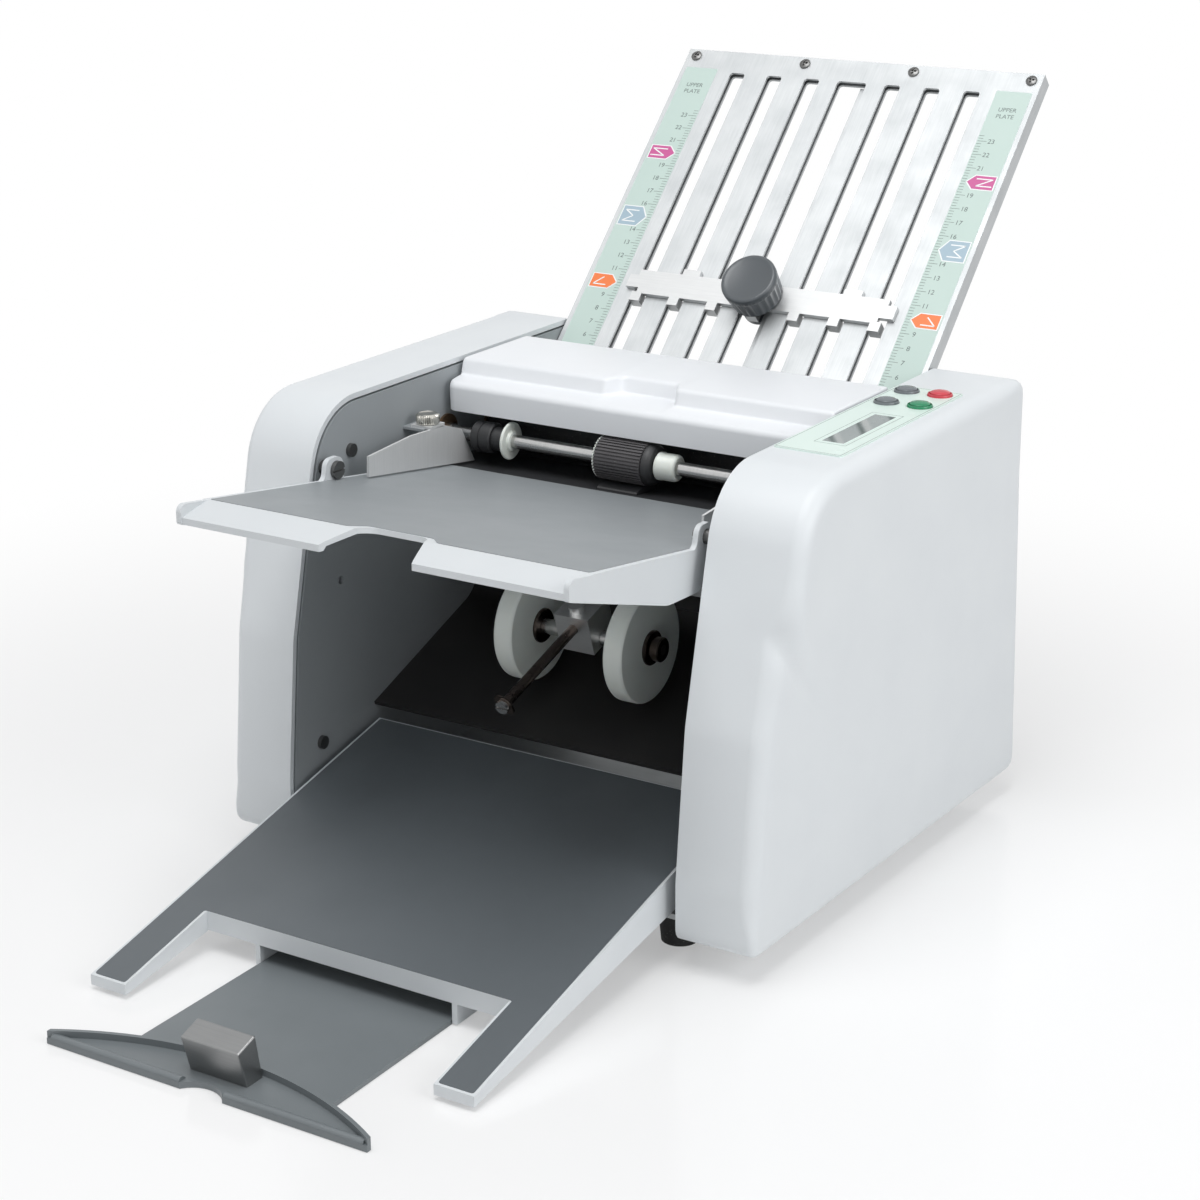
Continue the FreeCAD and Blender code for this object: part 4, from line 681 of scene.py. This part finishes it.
# %% [markdown]
# ## The feed shaft
# Four makers meet on this shaft. The bar is ground steel; the black sleeve at its left end is a
# moulded nylon hub; the thin disc and the stepped bush are turned from white nylon and keep the
# paper's edge off the bearings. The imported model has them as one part, so they are drawn again
# here, each spun from its own profile, and the four together stand for that part. A single lathe
# with four materials by face would do, but separate pieces keep separate edges.

# %% Pieces along the feed shaft
def across_shaft(y, z):
    """A lathe spot whose axis lies across the machine at (y, z)."""
    return lambda a, b, h: machine(h, y + a, z + b)


def turned_piece(name, body, slot_name, y, z, profile, stands_for=(), material=None, steps=64,
                 flute=None):
    """Spins one profile of (radius, across) pairs about a shaft at (y, z)."""
    bm = bmesh.new()
    lathe(bm, profile, across_shaft(y, z), steps, flute)
    finish_piece(bm, name, body, slot_name, stands_for, material)


def ring_profile(bore, radius, low, high, bevel):
    """A closed ring section with bevelled outer corners."""
    return [(bore, low), (radius - bevel, low), (radius, low + bevel), (radius, high - bevel),
            (radius - bevel, high), (bore, high), (bore, low)]


FEED = (31.0, 218.0)
black_nylon = dressed["pulley_plastic"]
bar = [(0, -129.5), (4.6, -129.5), (5.0, -129.1), (5.0, -118.0), (4.0, -118.0), (4.0, 118.0),
       (5.0, 118.0), (5.0, 146.6), (4.6, 147.0), (0, 147.0)]
sleeve = [(4.02, -101.5), (8.2, -101.5), (9.0, -100.7), (9.0, -96.2), (8.4, -95.9), (8.4, -95.2),
          (9.0, -94.9), (9.0, -88.8), (8.4, -88.0), (7.0, -88.0), (7.0, -80.2), (6.4, -79.6),
          (4.02, -79.6), (4.02, -101.5)]
disc = [(4.02, -79.4), (5.5, -79.4), (6.0, -79.1), (10.4, -79.3), (10.9, -78.9), (11.0, -78.4),
        (10.9, -77.9), (10.4, -77.5), (6.4, -77.7), (5.6, -76.2), (4.02, -76.0), (4.02, -79.4)]
bush = [(4.02, 21.2), (7.3, 21.2), (8.0, 21.8), (8.0, 23.6), (7.7, 24.1), (7.7, 32.2),
        (7.4, 33.2), (6.6, 33.9), (6.0, 34.0), (5.2, 33.3), (4.02, 33.3), (4.02, 21.2)]
for name, slot_name, profile, material in (
        ("feed_shaft_bar", "shaft_steel", bar, None),
        ("feed_shaft_sleeve", "shaft_steel", sleeve, black_nylon),
        ("feed_shaft_disc", "gear_nylon", disc, None),
        ("feed_shaft_bush", "gear_nylon", bush, None)):
    turned_piece(name, "feed_roller_unit", slot_name, *FEED, profile, ["feed_shaft"], material)

# %% [markdown]
# The tyre is pushed onto a black core with a rounded flange on its right. On its left a white
# ring with one tooth per rib locks the tyre, so that it cannot creep around the core.

# %% Core and lock ring of the feed roller
def toothed(count, depth):
    """A radius that steps between two values, once per tooth."""
    def radius_at(radius, height, angle):
        return radius - (depth if math.cos(count * angle) < 0 and radius > 11.5 else 0.0)
    return radius_at


core = [(4.05, -15.0), (9.5, -15.0), (9.5, 15.1), (11.2, 15.1), (11.8, 15.6), (11.9, 17.0),
        (11.4, 19.0), (10.2, 20.3), (8.6, 20.6), (4.05, 20.6), (4.05, -15.0)]
turned_piece("feed_roller_flange", "feed_roller_unit", "pulley_plastic", *FEED, core,
             ["feed_roller_core"], black_nylon)
lock_ring = [(9.0, -16.2), (11.9, -16.2), (12.1, -16.0), (12.1, -15.3), (11.9, -15.1),
             (9.0, -15.1), (9.0, -16.2)]
turned_piece("feed_roller_lock_ring", "feed_roller_unit", "gear_nylon", *FEED, lock_ring,
             steps=320, flute=toothed(40, 0.7))

# %% [markdown]
# ## Press wheels, axle and rod
# Two pale wheels press the folded sheets onto the tray. Each is a cast polyurethane disc with
# slightly rounded rims on a black steel hub, and a black collar holds it on the axle. The
# carriage between them slides on a black rod whose front end has a bright slotted face and a
# spring clip with two lobes.

# %% Wheels and hubs
AXLE_Y, AXLE_Z = on_press_rod(0, 87.5, -11.3).yz / MM - SHIFT.yz
WHEEL_MIDDLE = 35.8
burnished_hub = turned("burnished_steel_hub", "#6A605A", "#4A423D", 0.24, (0.04, 1.0, 1.0))
for side, name in ((-1, "left"), (1, "right")):
    middle = side * WHEEL_MIDDLE
    disc = [(10.0, -6.3), (29.8, -6.3), (31.2, -6.0), (31.8, -5.3), (32.0, -4.3), (32.0, 4.3),
            (31.8, 5.3), (31.2, 6.0), (29.8, 6.3), (10.0, 6.3), (10.0, -6.3)]
    turned_piece(name + "_wheel_disc", name + "_wheel", "wheel_plastic", AXLE_Y, AXLE_Z,
                 [(r, middle + h) for r, h in disc], [name + "_press_wheel"], steps=128)
    hub = ring_profile(3.05, 9.95, -8.0, 8.0, 0.6)
    turned_piece(name + "_wheel_hub", name + "_wheel", "wheel_plastic", AXLE_Y, AXLE_Z,
                 [(r, middle + h) for r, h in hub], [name + "_press_wheel"], burnished_hub)

# %% Axle with its collars
axle = [(0, -47.0), (3.0, -47.0), (3.0, -27.5), (4.5, -27.5), (4.5, -11.2), (3.0, -11.2),
        (3.0, 11.2), (4.5, 11.2), (4.5, 27.5), (3.0, 27.5), (3.0, 49.8), (0, 49.8)]
turned_piece("press_axle_bar", "press_carriage", "shaft_steel", AXLE_Y, AXLE_Z, axle,
             ["press_axle"])
for name, low, high in (("left", -47.0, -44.1), ("right", 44.1, 49.8)):
    profile = ring_profile(3.02, 7.0, low, high, 0.6)
    turned_piece(name + "_axle_collar", "press_carriage", "shaft_steel", AXLE_Y, AXLE_Z, profile,
                 ["press_axle"], burnished_hub)

# %% Rod, slotted end and clip
ROD_END, SLOT_HALF = 3.8, 0.6


def on_circle(radius, angles):
    """Points of a circle at some angles."""
    return [(radius * math.cos(angle), radius * math.sin(angle)) for angle in angles]


def along_rod(a, b, h):
    """A lathe spot whose axis runs along the press rod."""
    return on_press_rod(a, h, b)


bm = bmesh.new()
lathe(bm, [(0, 2.4), (2.7, 2.4), (3.0, 2.7), (3.0, 138.0), (0, 138.0)], along_rod, 48)
finish_piece(bm, "press_rod_bar", "root", "rod_black", ["press_rod"])
bm = bmesh.new()
slot = math.asin(SLOT_HALF / ROD_END)
for start in (slot, math.pi + slot):
    half_turn = [start + (math.pi - 2 * slot) * k / 20 for k in range(21)]
    prism(bm, on_circle(ROD_END, half_turn), 0.0, 1.6, along_rod)
prism(bm, on_circle(ROD_END, [2 * math.pi * k / 48 for k in range(48)]), 1.6, 2.6, along_rod)
finish_piece(bm, "press_rod_end", "root", "rod_black", ["press_rod"], dressed["shaft_steel"])

LOBE_ANGLE = 2.4
bm = bmesh.new()
lobed = []
for angle in [2 * math.pi * k / 72 for k in range(72)]:
    reach = 5.0 + 1.8 * max(0.0, math.cos(2 * (angle - LOBE_ANGLE))) ** 2
    lobed += on_circle(reach, [angle])
prism(bm, lobed, 2.8, 4.2, along_rod)
finish_piece(bm, "press_rod_clip", "root", "rod_black", ["press_rod"], burnished_hub)

# %% [markdown]
# ## The top cover
# The lid over the feed rollers is a step: a low shelf at the front and a higher deck behind it. In
# the middle the step swings back to leave a place for the fingers. A fixed outline pushed along a
# line can't do that, so the outline is drawn again at every station across the machine, with its
# step moved back where the finger grip is, and its ends drawn in to round them. The hollow
# underneath and the bore for the hinge rod are then cut out with a boolean.

# %% Outlines, lofts and cuts
def eased(t):
    """0 below t = 0, 1 above t = 1, and a soft S between, for one number or a whole array."""
    t = np.clip(t, 0, 1)
    return t * t * (3 - 2 * t)


def arc_outline(corners, steps=6):
    """A closed outline from (a, b, radius) corners, each turned into a true arc."""
    made = []
    for i, (a, b, radius) in enumerate(corners):
        corner = Vector((a, b))
        back = (Vector(corners[i - 1][:2]) - corner).normalized()
        ahead = (Vector(corners[(i + 1) % len(corners)][:2]) - corner).normalized()
        half = back.angle(ahead) / 2
        if radius == 0:
            made.append((a, b))
            continue
        centre = corner + (back + ahead).normalized() * radius / math.sin(half)
        reach = radius / math.tan(half)
        start, end = corner + back * reach, corner + ahead * reach
        turn = (start - centre).angle_signed(end - centre)
        for k in range(steps + 1):
            ray = (start - centre).copy()
            ray.rotate(Matrix.Rotation(-turn * k / steps, 2))
            made.append(tuple(centre + ray))
    return made


def loft(bm, sections):
    """Skins a row of loops that have the same number of points, and closes both ends."""
    rings = [[bm.verts.new(p) for p in section] for section in sections]
    count = len(rings[0])
    for one, two in zip(rings, rings[1:]):
        for i in range(count):
            j = (i + 1) % count
            bm.faces.new((one[i], one[j], two[j], two[i]))
    bm.faces.new(rings[0])
    bm.faces.new(rings[-1])


def carved(bm, tool):
    """The mesh of bm less the solids of tool, by an exact boolean."""
    objects = []
    for part in (bm, tool):
        bmesh.ops.recalc_face_normals(part, faces=part.faces)
        mesh = bpy.data.meshes.new("carving")
        part.to_mesh(mesh)
        part.free()
        objects.append(bpy.data.objects.new("carving", mesh))
        bpy.context.scene.collection.objects.link(objects[-1])
    whole, knife = objects
    modifier = whole.modifiers.new("cut", "BOOLEAN")
    modifier.operation, modifier.solver, modifier.object = "DIFFERENCE", "EXACT", knife
    result = bmesh.new()
    state = bpy.context.evaluated_depsgraph_get()
    result.from_mesh(bpy.data.meshes.new_from_object(whole.evaluated_get(state)))
    for holder in objects:
        bpy.data.objects.remove(holder)
    return result


print("half way, an eased step stands at", float(eased(0.5)))

# %% Sections of the lid
LID_END, END_ROUND, EDGE_ROUND = 121.5, 7.0, 1.4
GRIP_DEPTH, GRIP_HALF, GRIP_FADE = 11.0, 17.0, 7.0
SHELF, DECK, LID_REAR = 249.8, 259.0, 113.6


def rounding(radius, beyond):
    """How far a quarter circle has drawn in, so far beyond its start."""
    return radius - math.sqrt(max(0.0, radius ** 2 - max(0.0, beyond) ** 2))


def lid_section(across):
    """The lid's outline at one station, as places in the model."""
    grip = GRIP_DEPTH * (1 - eased((abs(across) - GRIP_HALF) / GRIP_FADE))
    drawn_in = rounding(END_ROUND, abs(across) - (LID_END - END_ROUND))
    inset = rounding(EDGE_ROUND, abs(across) - (LID_END - EDGE_ROUND))
    deck, rear = DECK - inset, LID_REAR - inset
    outline = arc_outline([
        (27.9 + drawn_in, 231.6, 0), (27.3 + drawn_in, SHELF - 1.6 - inset, 4.0),
        (43.7 + grip, SHELF - inset, 1.6), (46.3 + grip, deck, 3.4), (rear, deck, 2.0),
        (rear, 238.0, 3.0), (100.0, 238.0, 3.0), (93.0, 231.6, 0)])
    return [machine(across, y, z) for y, z in outline]


stations = [0, 4, 8, 12, 15, 17, 18, 19, 20, 21, 22, 23, 24, 26, 32, 50, 80, 105, 114.5, 116, 117.5,
            118.7, 119.7, 120.3, 120.8, 121.2, 121.5]
stations = [-a for a in reversed(stations[1:])] + stations
bm = bmesh.new()
loft(bm, [lid_section(across) for across in stations])
hollow = bmesh.new()
inside = [(34.2, 226.0), (34.2, 245.4), (60.0, 245.4), (60.0, 255.8), (110.6, 255.8),
          (110.6, 226.0)]
prism(hollow, inside, -118.5, 118.5, lambda a, b, h: machine(h, a, b))
bore = [(0, -123.0), (3.05, -123.0), (3.05, 123.0), (0, 123.0)]
HINGE = (107.0, 245.0)
lathe(hollow, bore, across_shaft(*HINGE), 48)
finish_piece(carved(bm, hollow), "lid_with_grip", "top_cover_unit", "white_plastic", ["top_cover"])

# %% [markdown]
# ## The side covers
# The side of each cover is a piece of styling. A field stands out and reaches the front edge at
# the brow. Lower down a bow marks its front border, from the brow down to the rear foot, and the
# face outside the bow falls away to a ridge at the front, which is drawn in. High up the bow and
# the ridge are close together, so the fall is a soft steep step; low down they are far apart and
# it is hardly seen. One function gives that: at each height, the share of the way from the front
# edge to the bow says how far the face stands out. The outline of the cover is shrunk towards
# its middle in many rings, which makes a web of points for the function. Close to the outline
# the face falls in a quarter circle, which rounds the edge. The alternative, surface patches
# with fillets, gives trouble just where the step fades.

# %% Outline and bow of the covers
OUTLINE = [(-125.5, 15.5, 8.0), (-126.0, 50.0, 30.0), (-118.0, 132.0, 60.0), (-89.6, 259.0, 42.0),
           (174.0, 259.0, 9.0), (175.0, 203.0, 30.0), (188.0, 15.5, 8.0)]
BOW = [(200.0, 12.0), (98.3, 47.0), (17.6, 78.5), (-32.7, 110.0), (-80.3, 153.0), (-100.0, 188.0),
       (-106.0, 215.0), (-98.0, 240.0), (-76.0, 258.0), (-60.0, 275.0)]
MIDDLE = np.array([35.0, 140.0])


def softened(points, times=4):
    """Cuts the corners of an open line, again and again, until it flows."""
    for _ in range(times):
        cut = [points[0]]
        for (a, b), (c, d) in zip(points, points[1:]):
            cut.append((0.75 * a + 0.25 * c, 0.75 * b + 0.25 * d))
            cut.append((0.25 * a + 0.75 * c, 0.25 * b + 0.75 * d))
        points = cut + [points[-1]]
    return np.array(points)


def evenly(outline, spacing):
    """The outline with points at about the same spacing all round."""
    ring = np.array(outline + outline[:1])
    runs = np.sqrt((np.diff(ring, axis=0) ** 2).sum(1))
    along = np.concatenate([[0], np.cumsum(runs)])
    wanted = np.linspace(0, along[-1], int(along[-1] / spacing), endpoint=False)
    return np.stack([np.interp(wanted, along, ring[:, axis]) for axis in (0, 1)], 1)


rim = evenly(arc_outline(OUTLINE, 12), 3.0)
front = rim[rim[:, 0] < -60.0]
front = front[front[:, 1].argsort()]
bow = softened(BOW)
print(len(rim), "points around the cover")

# %% [markdown]
# A point's share of the way from the front edge to the bow decides how far out it lies. That share
# is taken at five spots close together and averaged, which softens both ends of the step. Just
# outside the steep part of the bow the face dips a little more, as a thumb would press it, and
# that dip is what the eye reads as a soft valley.

# %% How far a side stands out
LEAST_STEP = 9.0
VALLEY_DEPTH, VALLEY_WIDE, VALLEY_HIGH, VALLEY_TALL = 0.3, 6.0, 186.0, 42.0
EDGE_FRONT, EDGE_LEAST = 9.0, 4.0


def face_of(points, ridge, field):
    """The side face before its edges are rounded: from the ridge at the front to the field."""
    y, z = points[:, 0], points[:, 1]
    end = np.interp(z, bow[:, 1], bow[:, 0])
    start = np.minimum(np.interp(z, front[:, 1], front[:, 0]), end - LEAST_STEP)
    shares = [np.clip((y + shift - start) / (end - start), 0, 1) for shift in (-5, -2.5, 0, 2.5, 5)]
    across_valley = np.exp(-((y - end + LEAST_STEP) / VALLEY_WIDE) ** 2)
    along_valley = np.exp(-((z - VALLEY_HIGH) / VALLEY_TALL) ** 2)
    dip = VALLEY_DEPTH * across_valley * along_valley
    return ridge + (field - ridge) * (np.mean(shares, axis=0) - dip)


def distance_to_rim(points):
    """The shortest way from each point to the cover's outline."""
    start, end = rim, np.roll(rim, -1, axis=0)
    run = end - start
    offset = points[:, None, :] - start[None, :, :]
    share = np.clip((offset * run).sum(2) / (run * run).sum(1), 0, 1)
    gap = offset - share[:, :, None] * run
    return np.sqrt((gap * gap).sum(2)).min(1)


def skin_of(points, ridge, field, brow_edge):
    """The side face with its edge rounded: widest in front, tight at the foot and the rear."""
    y, z = points[:, 0], points[:, 1]
    edge = EDGE_FRONT + (brow_edge - EDGE_FRONT) * eased((z - 150.0) / 50.0)
    tighter = 5.0 * eased((y - 140.0) / 40.0) + 4.5 * eased((45.0 - z) / 20.0)
    edge = np.maximum(EDGE_LEAST, edge - tighter)
    depth = np.clip(edge - distance_to_rim(points), 0, edge)
    return face_of(points, ridge, field) - (edge - np.sqrt(edge ** 2 - depth ** 2))


low_front = np.array([[-120.0, 60.0], [100.0, 60.0]])
print("low down, the ridge and the field stand at", face_of(low_front, 170.0, 178.5).round(1))

# %% [markdown]
# The shell is one skin that starts in the middle of its inside, runs out to the inner rim, turns
# over the open edge and comes back over the outside. The rings lie close together near the outline,
# where the edge is rounded. Bosses for the screws stand on the inside, and a boolean cuts the slot
# for the wall and the holes for the keys, the display and the mains inlet.

# %% A cover as a hollow shell
WALL, OPEN_EDGE, SKIN = 3.0, 124.5, 3.5
WEB_REACH, WEB_CENTRE = 120.0, 0.03
NEAR_RIM = (0, 0.25, 0.7, 1.3, 2.1, 3.0, 4.1, 5.3, 6.6, 8.0, 9.5, 11.0, 12.6, 14.5)


def inner_rim():
    """The outline moved in by the thickness of the wall."""
    inner = rim.copy()
    for i, point in enumerate(rim):
        along = rim[(i + 1) % len(rim)] - rim[i - 1]
        normal = np.array([-along[1], along[0]]) / np.hypot(*along)
        inner[i] = point + normal * WALL * np.sign(normal @ (MIDDLE - point))
    return inner


def cover_shell(side, ridge, field, ceiling, brow_edge):
    """One shell, open towards the machine: inside web, open rim, outside web."""
    inner = inner_rim()
    webs = []
    for share in np.linspace(WEB_CENTRE, 1.0, 24):
        loop = MIDDLE + (inner - MIDDLE) * share
        webs.append((np.minimum(ceiling, face_of(loop, ridge, field) - SKIN), loop))
    open_edge = np.full(len(rim), OPEN_EDGE)
    webs += [(open_edge, inner), (open_edge, rim)]
    outside = [1 - d / WEB_REACH for d in NEAR_RIM]
    outside += list(np.linspace(1 - 16.5 / WEB_REACH, WEB_CENTRE, 52))
    for share in outside:
        loop = MIDDLE + (rim - MIDDLE) * share
        webs.append((skin_of(loop, ridge, field, brow_edge), loop))
    bm = bmesh.new()
    loft(bm, [[machine(side * x, y, z) for x, (y, z) in zip(reach, loop)] for reach, loop in webs])
    return bm


def box_tool(bm, y_low, y_high, z_low, z_high, x_low, x_high):
    """A block for the boolean, given by its ranges along the depth, the height and the width."""
    corners = [(y_low, z_low), (y_high, z_low), (y_high, z_high), (y_low, z_high)]
    prism(bm, corners, x_low, x_high, lambda a, b, h: machine(h, a, b))


print("the outside web has", len(NEAR_RIM) + 52, "rings")

# %% Both covers
BOSSES = ((-97.0, 65.0), (-62.0, 228.0), (138.0, 248.0), (168.0, 34.0))
PANEL_PINS = ((131.0, -26.0), (158.0, -26.0), (131.0, 62.0), (158.0, 62.0))
KEYS = {"front_grey": (137.0, 78.0), "rear_grey": (136.0, 106.0), "green": (156.3, 79.6),
        "red": (155.5, 107.4)}
for name, side, ridge, field, ceiling, brow_edge in (("left", -1, 167.0, 171.0, 163.0, 5.0),
                                                     ("right", 1, 170.0, 178.5, 165.0, 9.0)):
    tools = bmesh.new()
    box_tool(tools, -122.5, 185.0, 18.0, 32.5, *sorted((side * 123.0, side * 127.2)))
    if side > 0:
        box_tool(tools, -10.0, 50.5, 255.0, 262.0, 144.0, 154.5)
        box_tool(tools, 172.0, 192.0, 44.95, 75.05, 138.95, 163.05)
        for x, y in KEYS.values():
            lathe(tools, [(0, 254.0), (7.3, 254.0), (7.3, 262.0), (0, 262.0)],
                  lambda a, b, h: machine(x + a, y + b, h), 48)
    cover = carved(cover_shell(side, ridge, field, ceiling, brow_edge), tools)
    for y, z in BOSSES:
        outside = float(face_of(np.array([[y, z]]), ridge, field)[0])
        end = min(ceiling + 0.5, outside - 2.0)
        profile = [(2.05, 126.9), (5.0, 126.9), (5.0, end), (2.05, end), (2.05, 126.9)]
        lathe(cover, [(r, side * h) for r, h in profile], across_shaft(y, z), 32)
    if side > 0:
        for x, y in PANEL_PINS:
            lathe(cover, [(0, 239.6), (3.0, 239.6), (3.0, 256.5), (0, 256.5)],
                  lambda a, b, h: machine(x + a, y + b, h), 24)
    finish_piece(cover, name + "_cover_sculpt", "root", "cover_plastic", [name + "_cover"],
                 crease=40)

# %% [markdown]
# ## Keys and display
# The key caps are shallow domes with a fine groove just inside the rim, where the cap meets the
# flange that holds it under the cover. The mint film has a thin line printed around its edge
# and another around the display.

# %% Keys
for name, (x, y) in KEYS.items():
    profile = [(0, 243.2), (2.0, 243.2), (2.0, 251.0), (8.5, 253.2), (8.5, 255.7), (7.0, 255.7),
               (7.0, 260.6), (6.8, 261.0), (6.4, 261.1), (6.2, 260.3), (5.8, 260.3), (5.6, 261.5),
               (5.0, 262.0), (3.6, 262.4), (2.0, 262.6), (0, 262.7)]
    bm = bmesh.new()
    lathe(bm, profile, lambda a, b, h: machine(x + a, y + b, h), 64)
    colour = "key_grey" if "grey" in name else "key_" + name
    finish_piece(bm, name + "_cap", name + "_key", colour, [name + "_button"])

# %% Printed lines of the panel
def frame_line(bm, left, front, right, rear, width, low, high):
    """A rectangular line as four thin bars."""
    for x1, y1, x2, y2 in ((left, front, right, front + width), (left, rear - width, right, rear),
                           (left, front + width, left + width, rear - width),
                           (right - width, front + width, right, rear - width)):
        prism(bm, [(x1, y1), (x2, y1), (x2, y2), (x1, y2)], low, high, machine)


PANEL_TOP, LINE = 259.8, 0.35
line_ink = moulded("printed_ink_sage", "#8E9C97", "#87958F", 0.35, 1.0, 0.002)
for name, corners in (("display_frame", (140.0, -14.6, 158.5, 55.1)),
                      ("panel_border", (126.9, -32.1, 164.6, 116.1))):
    bm = bmesh.new()
    frame_line(bm, *corners, LINE, PANEL_TOP, PANEL_TOP + INK)
    finish_piece(bm, name, "root", "panel_film", material=line_ink)

# %% [markdown]
# ## Tray and table skins
# The delivery tray and the feed table are pale mouldings, and the faces that the paper slides on
# are dark grey: a thin laminate laid over the moulding. It is drawn as a sheet of its own, a
# quarter of a millimetre thick, so that its edge catches light as a real one does. Its outline
# follows the moulding, with the mouth of the tray and the finger recess of the table left open.

# %% Dark sliding faces
LAMINATE = 0.25
TRAY_FRONT, TRAY_LOW, TRAY_RISE = -300.0, 8.5, (65.2 - 8.5) / 250.0
TABLE_FRONT, TABLE_HIGH, TABLE_DROP = -250.4, 242.1, math.tan(math.radians(8.3))


def on_tray(across, along, off):
    """A spot on the delivery tray, which climbs to the rear; along is the machine's y."""
    return machine(across, along, TRAY_LOW + (along - TRAY_FRONT) * TRAY_RISE + off)


def on_table(across, along, off):
    """A spot on the feed table, which drops 8.3 degrees to the rear."""
    return machine(across, along, TABLE_HIGH - (along - TABLE_FRONT) * TABLE_DROP + off)


tray = [(-116.5, -298.5), (-96.5, -298.5), (-96.5, -235.0), (96.5, -235.0), (96.5, -298.5),
        (116.5, -298.5), (116.5, -51.0), (-116.5, -51.0)]
table = [(-114.8, -193.0), (-27.5, -193.0), (-19.5, -184.6), (19.5, -184.6), (27.5, -193.0),
         (114.8, -193.0), (114.8, 11.0), (-114.8, 11.0)]
for name, body, slot_name, outline, spot, material in (
        ("tray_face", "root", "exit_plastic", tray, on_tray,
         moulded("laminate_dark_grey", "#5F6569", "#565C60", 0.45, 1.4, 0.02)),
        ("table_face", "feed_table_unit", "table_plastic", table, on_table,
         moulded("laminate_mid_grey", "#8C9194", "#83888B", 0.45, 1.4, 0.02))):
    bm = bmesh.new()
    prism(bm, rounded_outline(outline, 1.5, 3), 0.0, LAMINATE, spot)
    finish_piece(bm, name, body, slot_name, material=material)

# %% [markdown]
# The stopper at the end of the tray is a flat plate, stiffened along its front edge by a low
# rounded bead on either side of the notch. A flat plate with a sharp edge would look cut from
# card, and the bead's highlight shows that it is moulded. One section pushed sideways gives it.

# %% Bead along the stopper's front edge
section = [(-354.9, 3.4), (-354.9, 4.0), (-354.4, 4.9), (-353.4, 5.4), (-352.2, 5.4),
           (-350.6, 4.6), (-349.6, 3.4)]
bm = bmesh.new()
for side in (-1, 1):
    prism(bm, section, side * 13.4, side * 94.5, lambda a, b, h: machine(h, a, b))
finish_piece(bm, "stopper_bead", "delivery_stop", "stopper_plastic")

# %% [markdown]
# ## Floor, light and camera
# The object stands on a plain pale floor. Four soft lamps light it as a product studio would:
# a large one high in front for the tops, a weak one from the left for the inner walls, one from
# the right for the big side cover, and a low one in front that looks in under the feed table.
# The background is white because the floor fades to plain white away from the object, and the
# world does the same. Both are seen by the camera and by reflections only, so they add no light.

# %% Floor
def seen_directly(tree):
    """1 for a ray from the camera, a mirror or a clear pane, 0 for light that spreads."""
    path = add(tree, "LightPath")
    camera_or_mirror = add(tree, "Math", {0: path.outputs["Is Camera Ray"],
                                          1: path.outputs["Is Glossy Ray"]}, operation="MAXIMUM")
    any_of_three = add(tree, "Math", {0: camera_or_mirror.outputs[0],
                                      1: path.outputs["Is Transmission Ray"]}, operation="MAXIMUM")
    return any_of_three.outputs[0]


def floor_material():
    """Pale lacquered board near the object, plain white further out."""
    material, tree, shader, place = surface("pale_lacquered_board", "#F6F6F6", "#F3F3F3", 0.14, 300)
    seen = seen_directly(tree)
    reach = add(tree, "VectorMath", {0: place}, operation="LENGTH")
    far = add(tree, "MapRange", {"Value": reach.outputs["Value"], "From Min": 0.25,
                                 "From Max": 0.85, "To Min": 0.35}, interpolation_type="SMOOTHSTEP")
    share = add(tree, "Math", {0: seen, 1: far.outputs[0]}, operation="MULTIPLY")
    glow = add(tree, "Emission", {"Color": (1, 1, 1, 1), "Strength": 1.0})
    both = add(tree, "MixShader", {0: share.outputs[0], 1: shader.outputs[0], 2: glow.outputs[0]})
    tree.links.new(both.outputs[0], tree.nodes["Material Output"].inputs["Surface"])
    return material


FLOOR_HALF = 8.0
bm = bmesh.new()
bmesh.ops.create_grid(bm, x_segments=2, y_segments=2, size=FLOOR_HALF)
mesh = bpy.data.meshes.new("floor")
bm.to_mesh(mesh)
bm.free()
mesh.materials.append(floor_material())
floor = bpy.data.objects.new("floor", mesh)
bpy.context.scene.collection.objects.link(floor)
print("floor is", floor.dimensions[0], "m wide")

# %% Lamps and world
LAMPS = (
    ("lamp_top", (0.1, -0.5, 2.0), 1.4, 24.0),
    ("lamp_left", (-1.7, -1.2, 0.8), 1.4, 1.5),
    ("lamp_right", (1.7, -0.2, 1.0), 1.2, 11.5),
    ("lamp_front", (0.2, -2.1, 0.3), 0.7, 2.0),
)
LOOK_AT = Vector((0, 0, 0.15))
for name, where, size, watts in LAMPS:
    light = bpy.data.lights.new(name, "AREA")
    light.shape = "DISK"
    light.size = size
    light.energy = watts
    lamp = bpy.data.objects.new(name, light)
    lamp.location = where
    lamp.rotation_euler = (LOOK_AT - Vector(where)).to_track_quat("-Z", "Y").to_euler()
    bpy.context.scene.collection.objects.link(lamp)

world = bpy.data.worlds.new("studio")
world.use_nodes = True
tree = world.node_tree
tree.nodes.clear()
lit = add(tree, "Background", {"Color": linear("#F4F6F9"), "Strength": 0.36})
white = add(tree, "Background", {"Color": (1, 1, 1, 1), "Strength": 1.0})
both = add(tree, "MixShader", {0: seen_directly(tree), 1: lit.outputs[0], 2: white.outputs[0]})
add(tree, "OutputWorld", {"Surface": both.outputs[0]})
bpy.context.scene.world = world
bpy.context.scene.view_settings.view_transform = "Standard"
print(len(LAMPS), "lamps and a soft world")

# %% [markdown]
# The camera stands to the right of the front and looks down a little, so that the fold plate,
# the tables and one side are all in view. Its long lens flattens the perspective and keeps
# upright edges nearly parallel, as in a catalogue.

# %% Camera
camera = bpy.data.objects.new("camera", bpy.data.cameras.new("camera"))
camera.data.sensor_width = 36.0
camera.data.lens = 77.75
camera.location = (0.72255, -1.15685, 0.6137)
camera.rotation_euler = (math.radians(71.2), 0.0, math.radians(31.7))
bpy.context.scene.collection.objects.link(camera)
bpy.context.scene.camera = camera
print("camera stands", round(camera.location.length, 2), "m away")
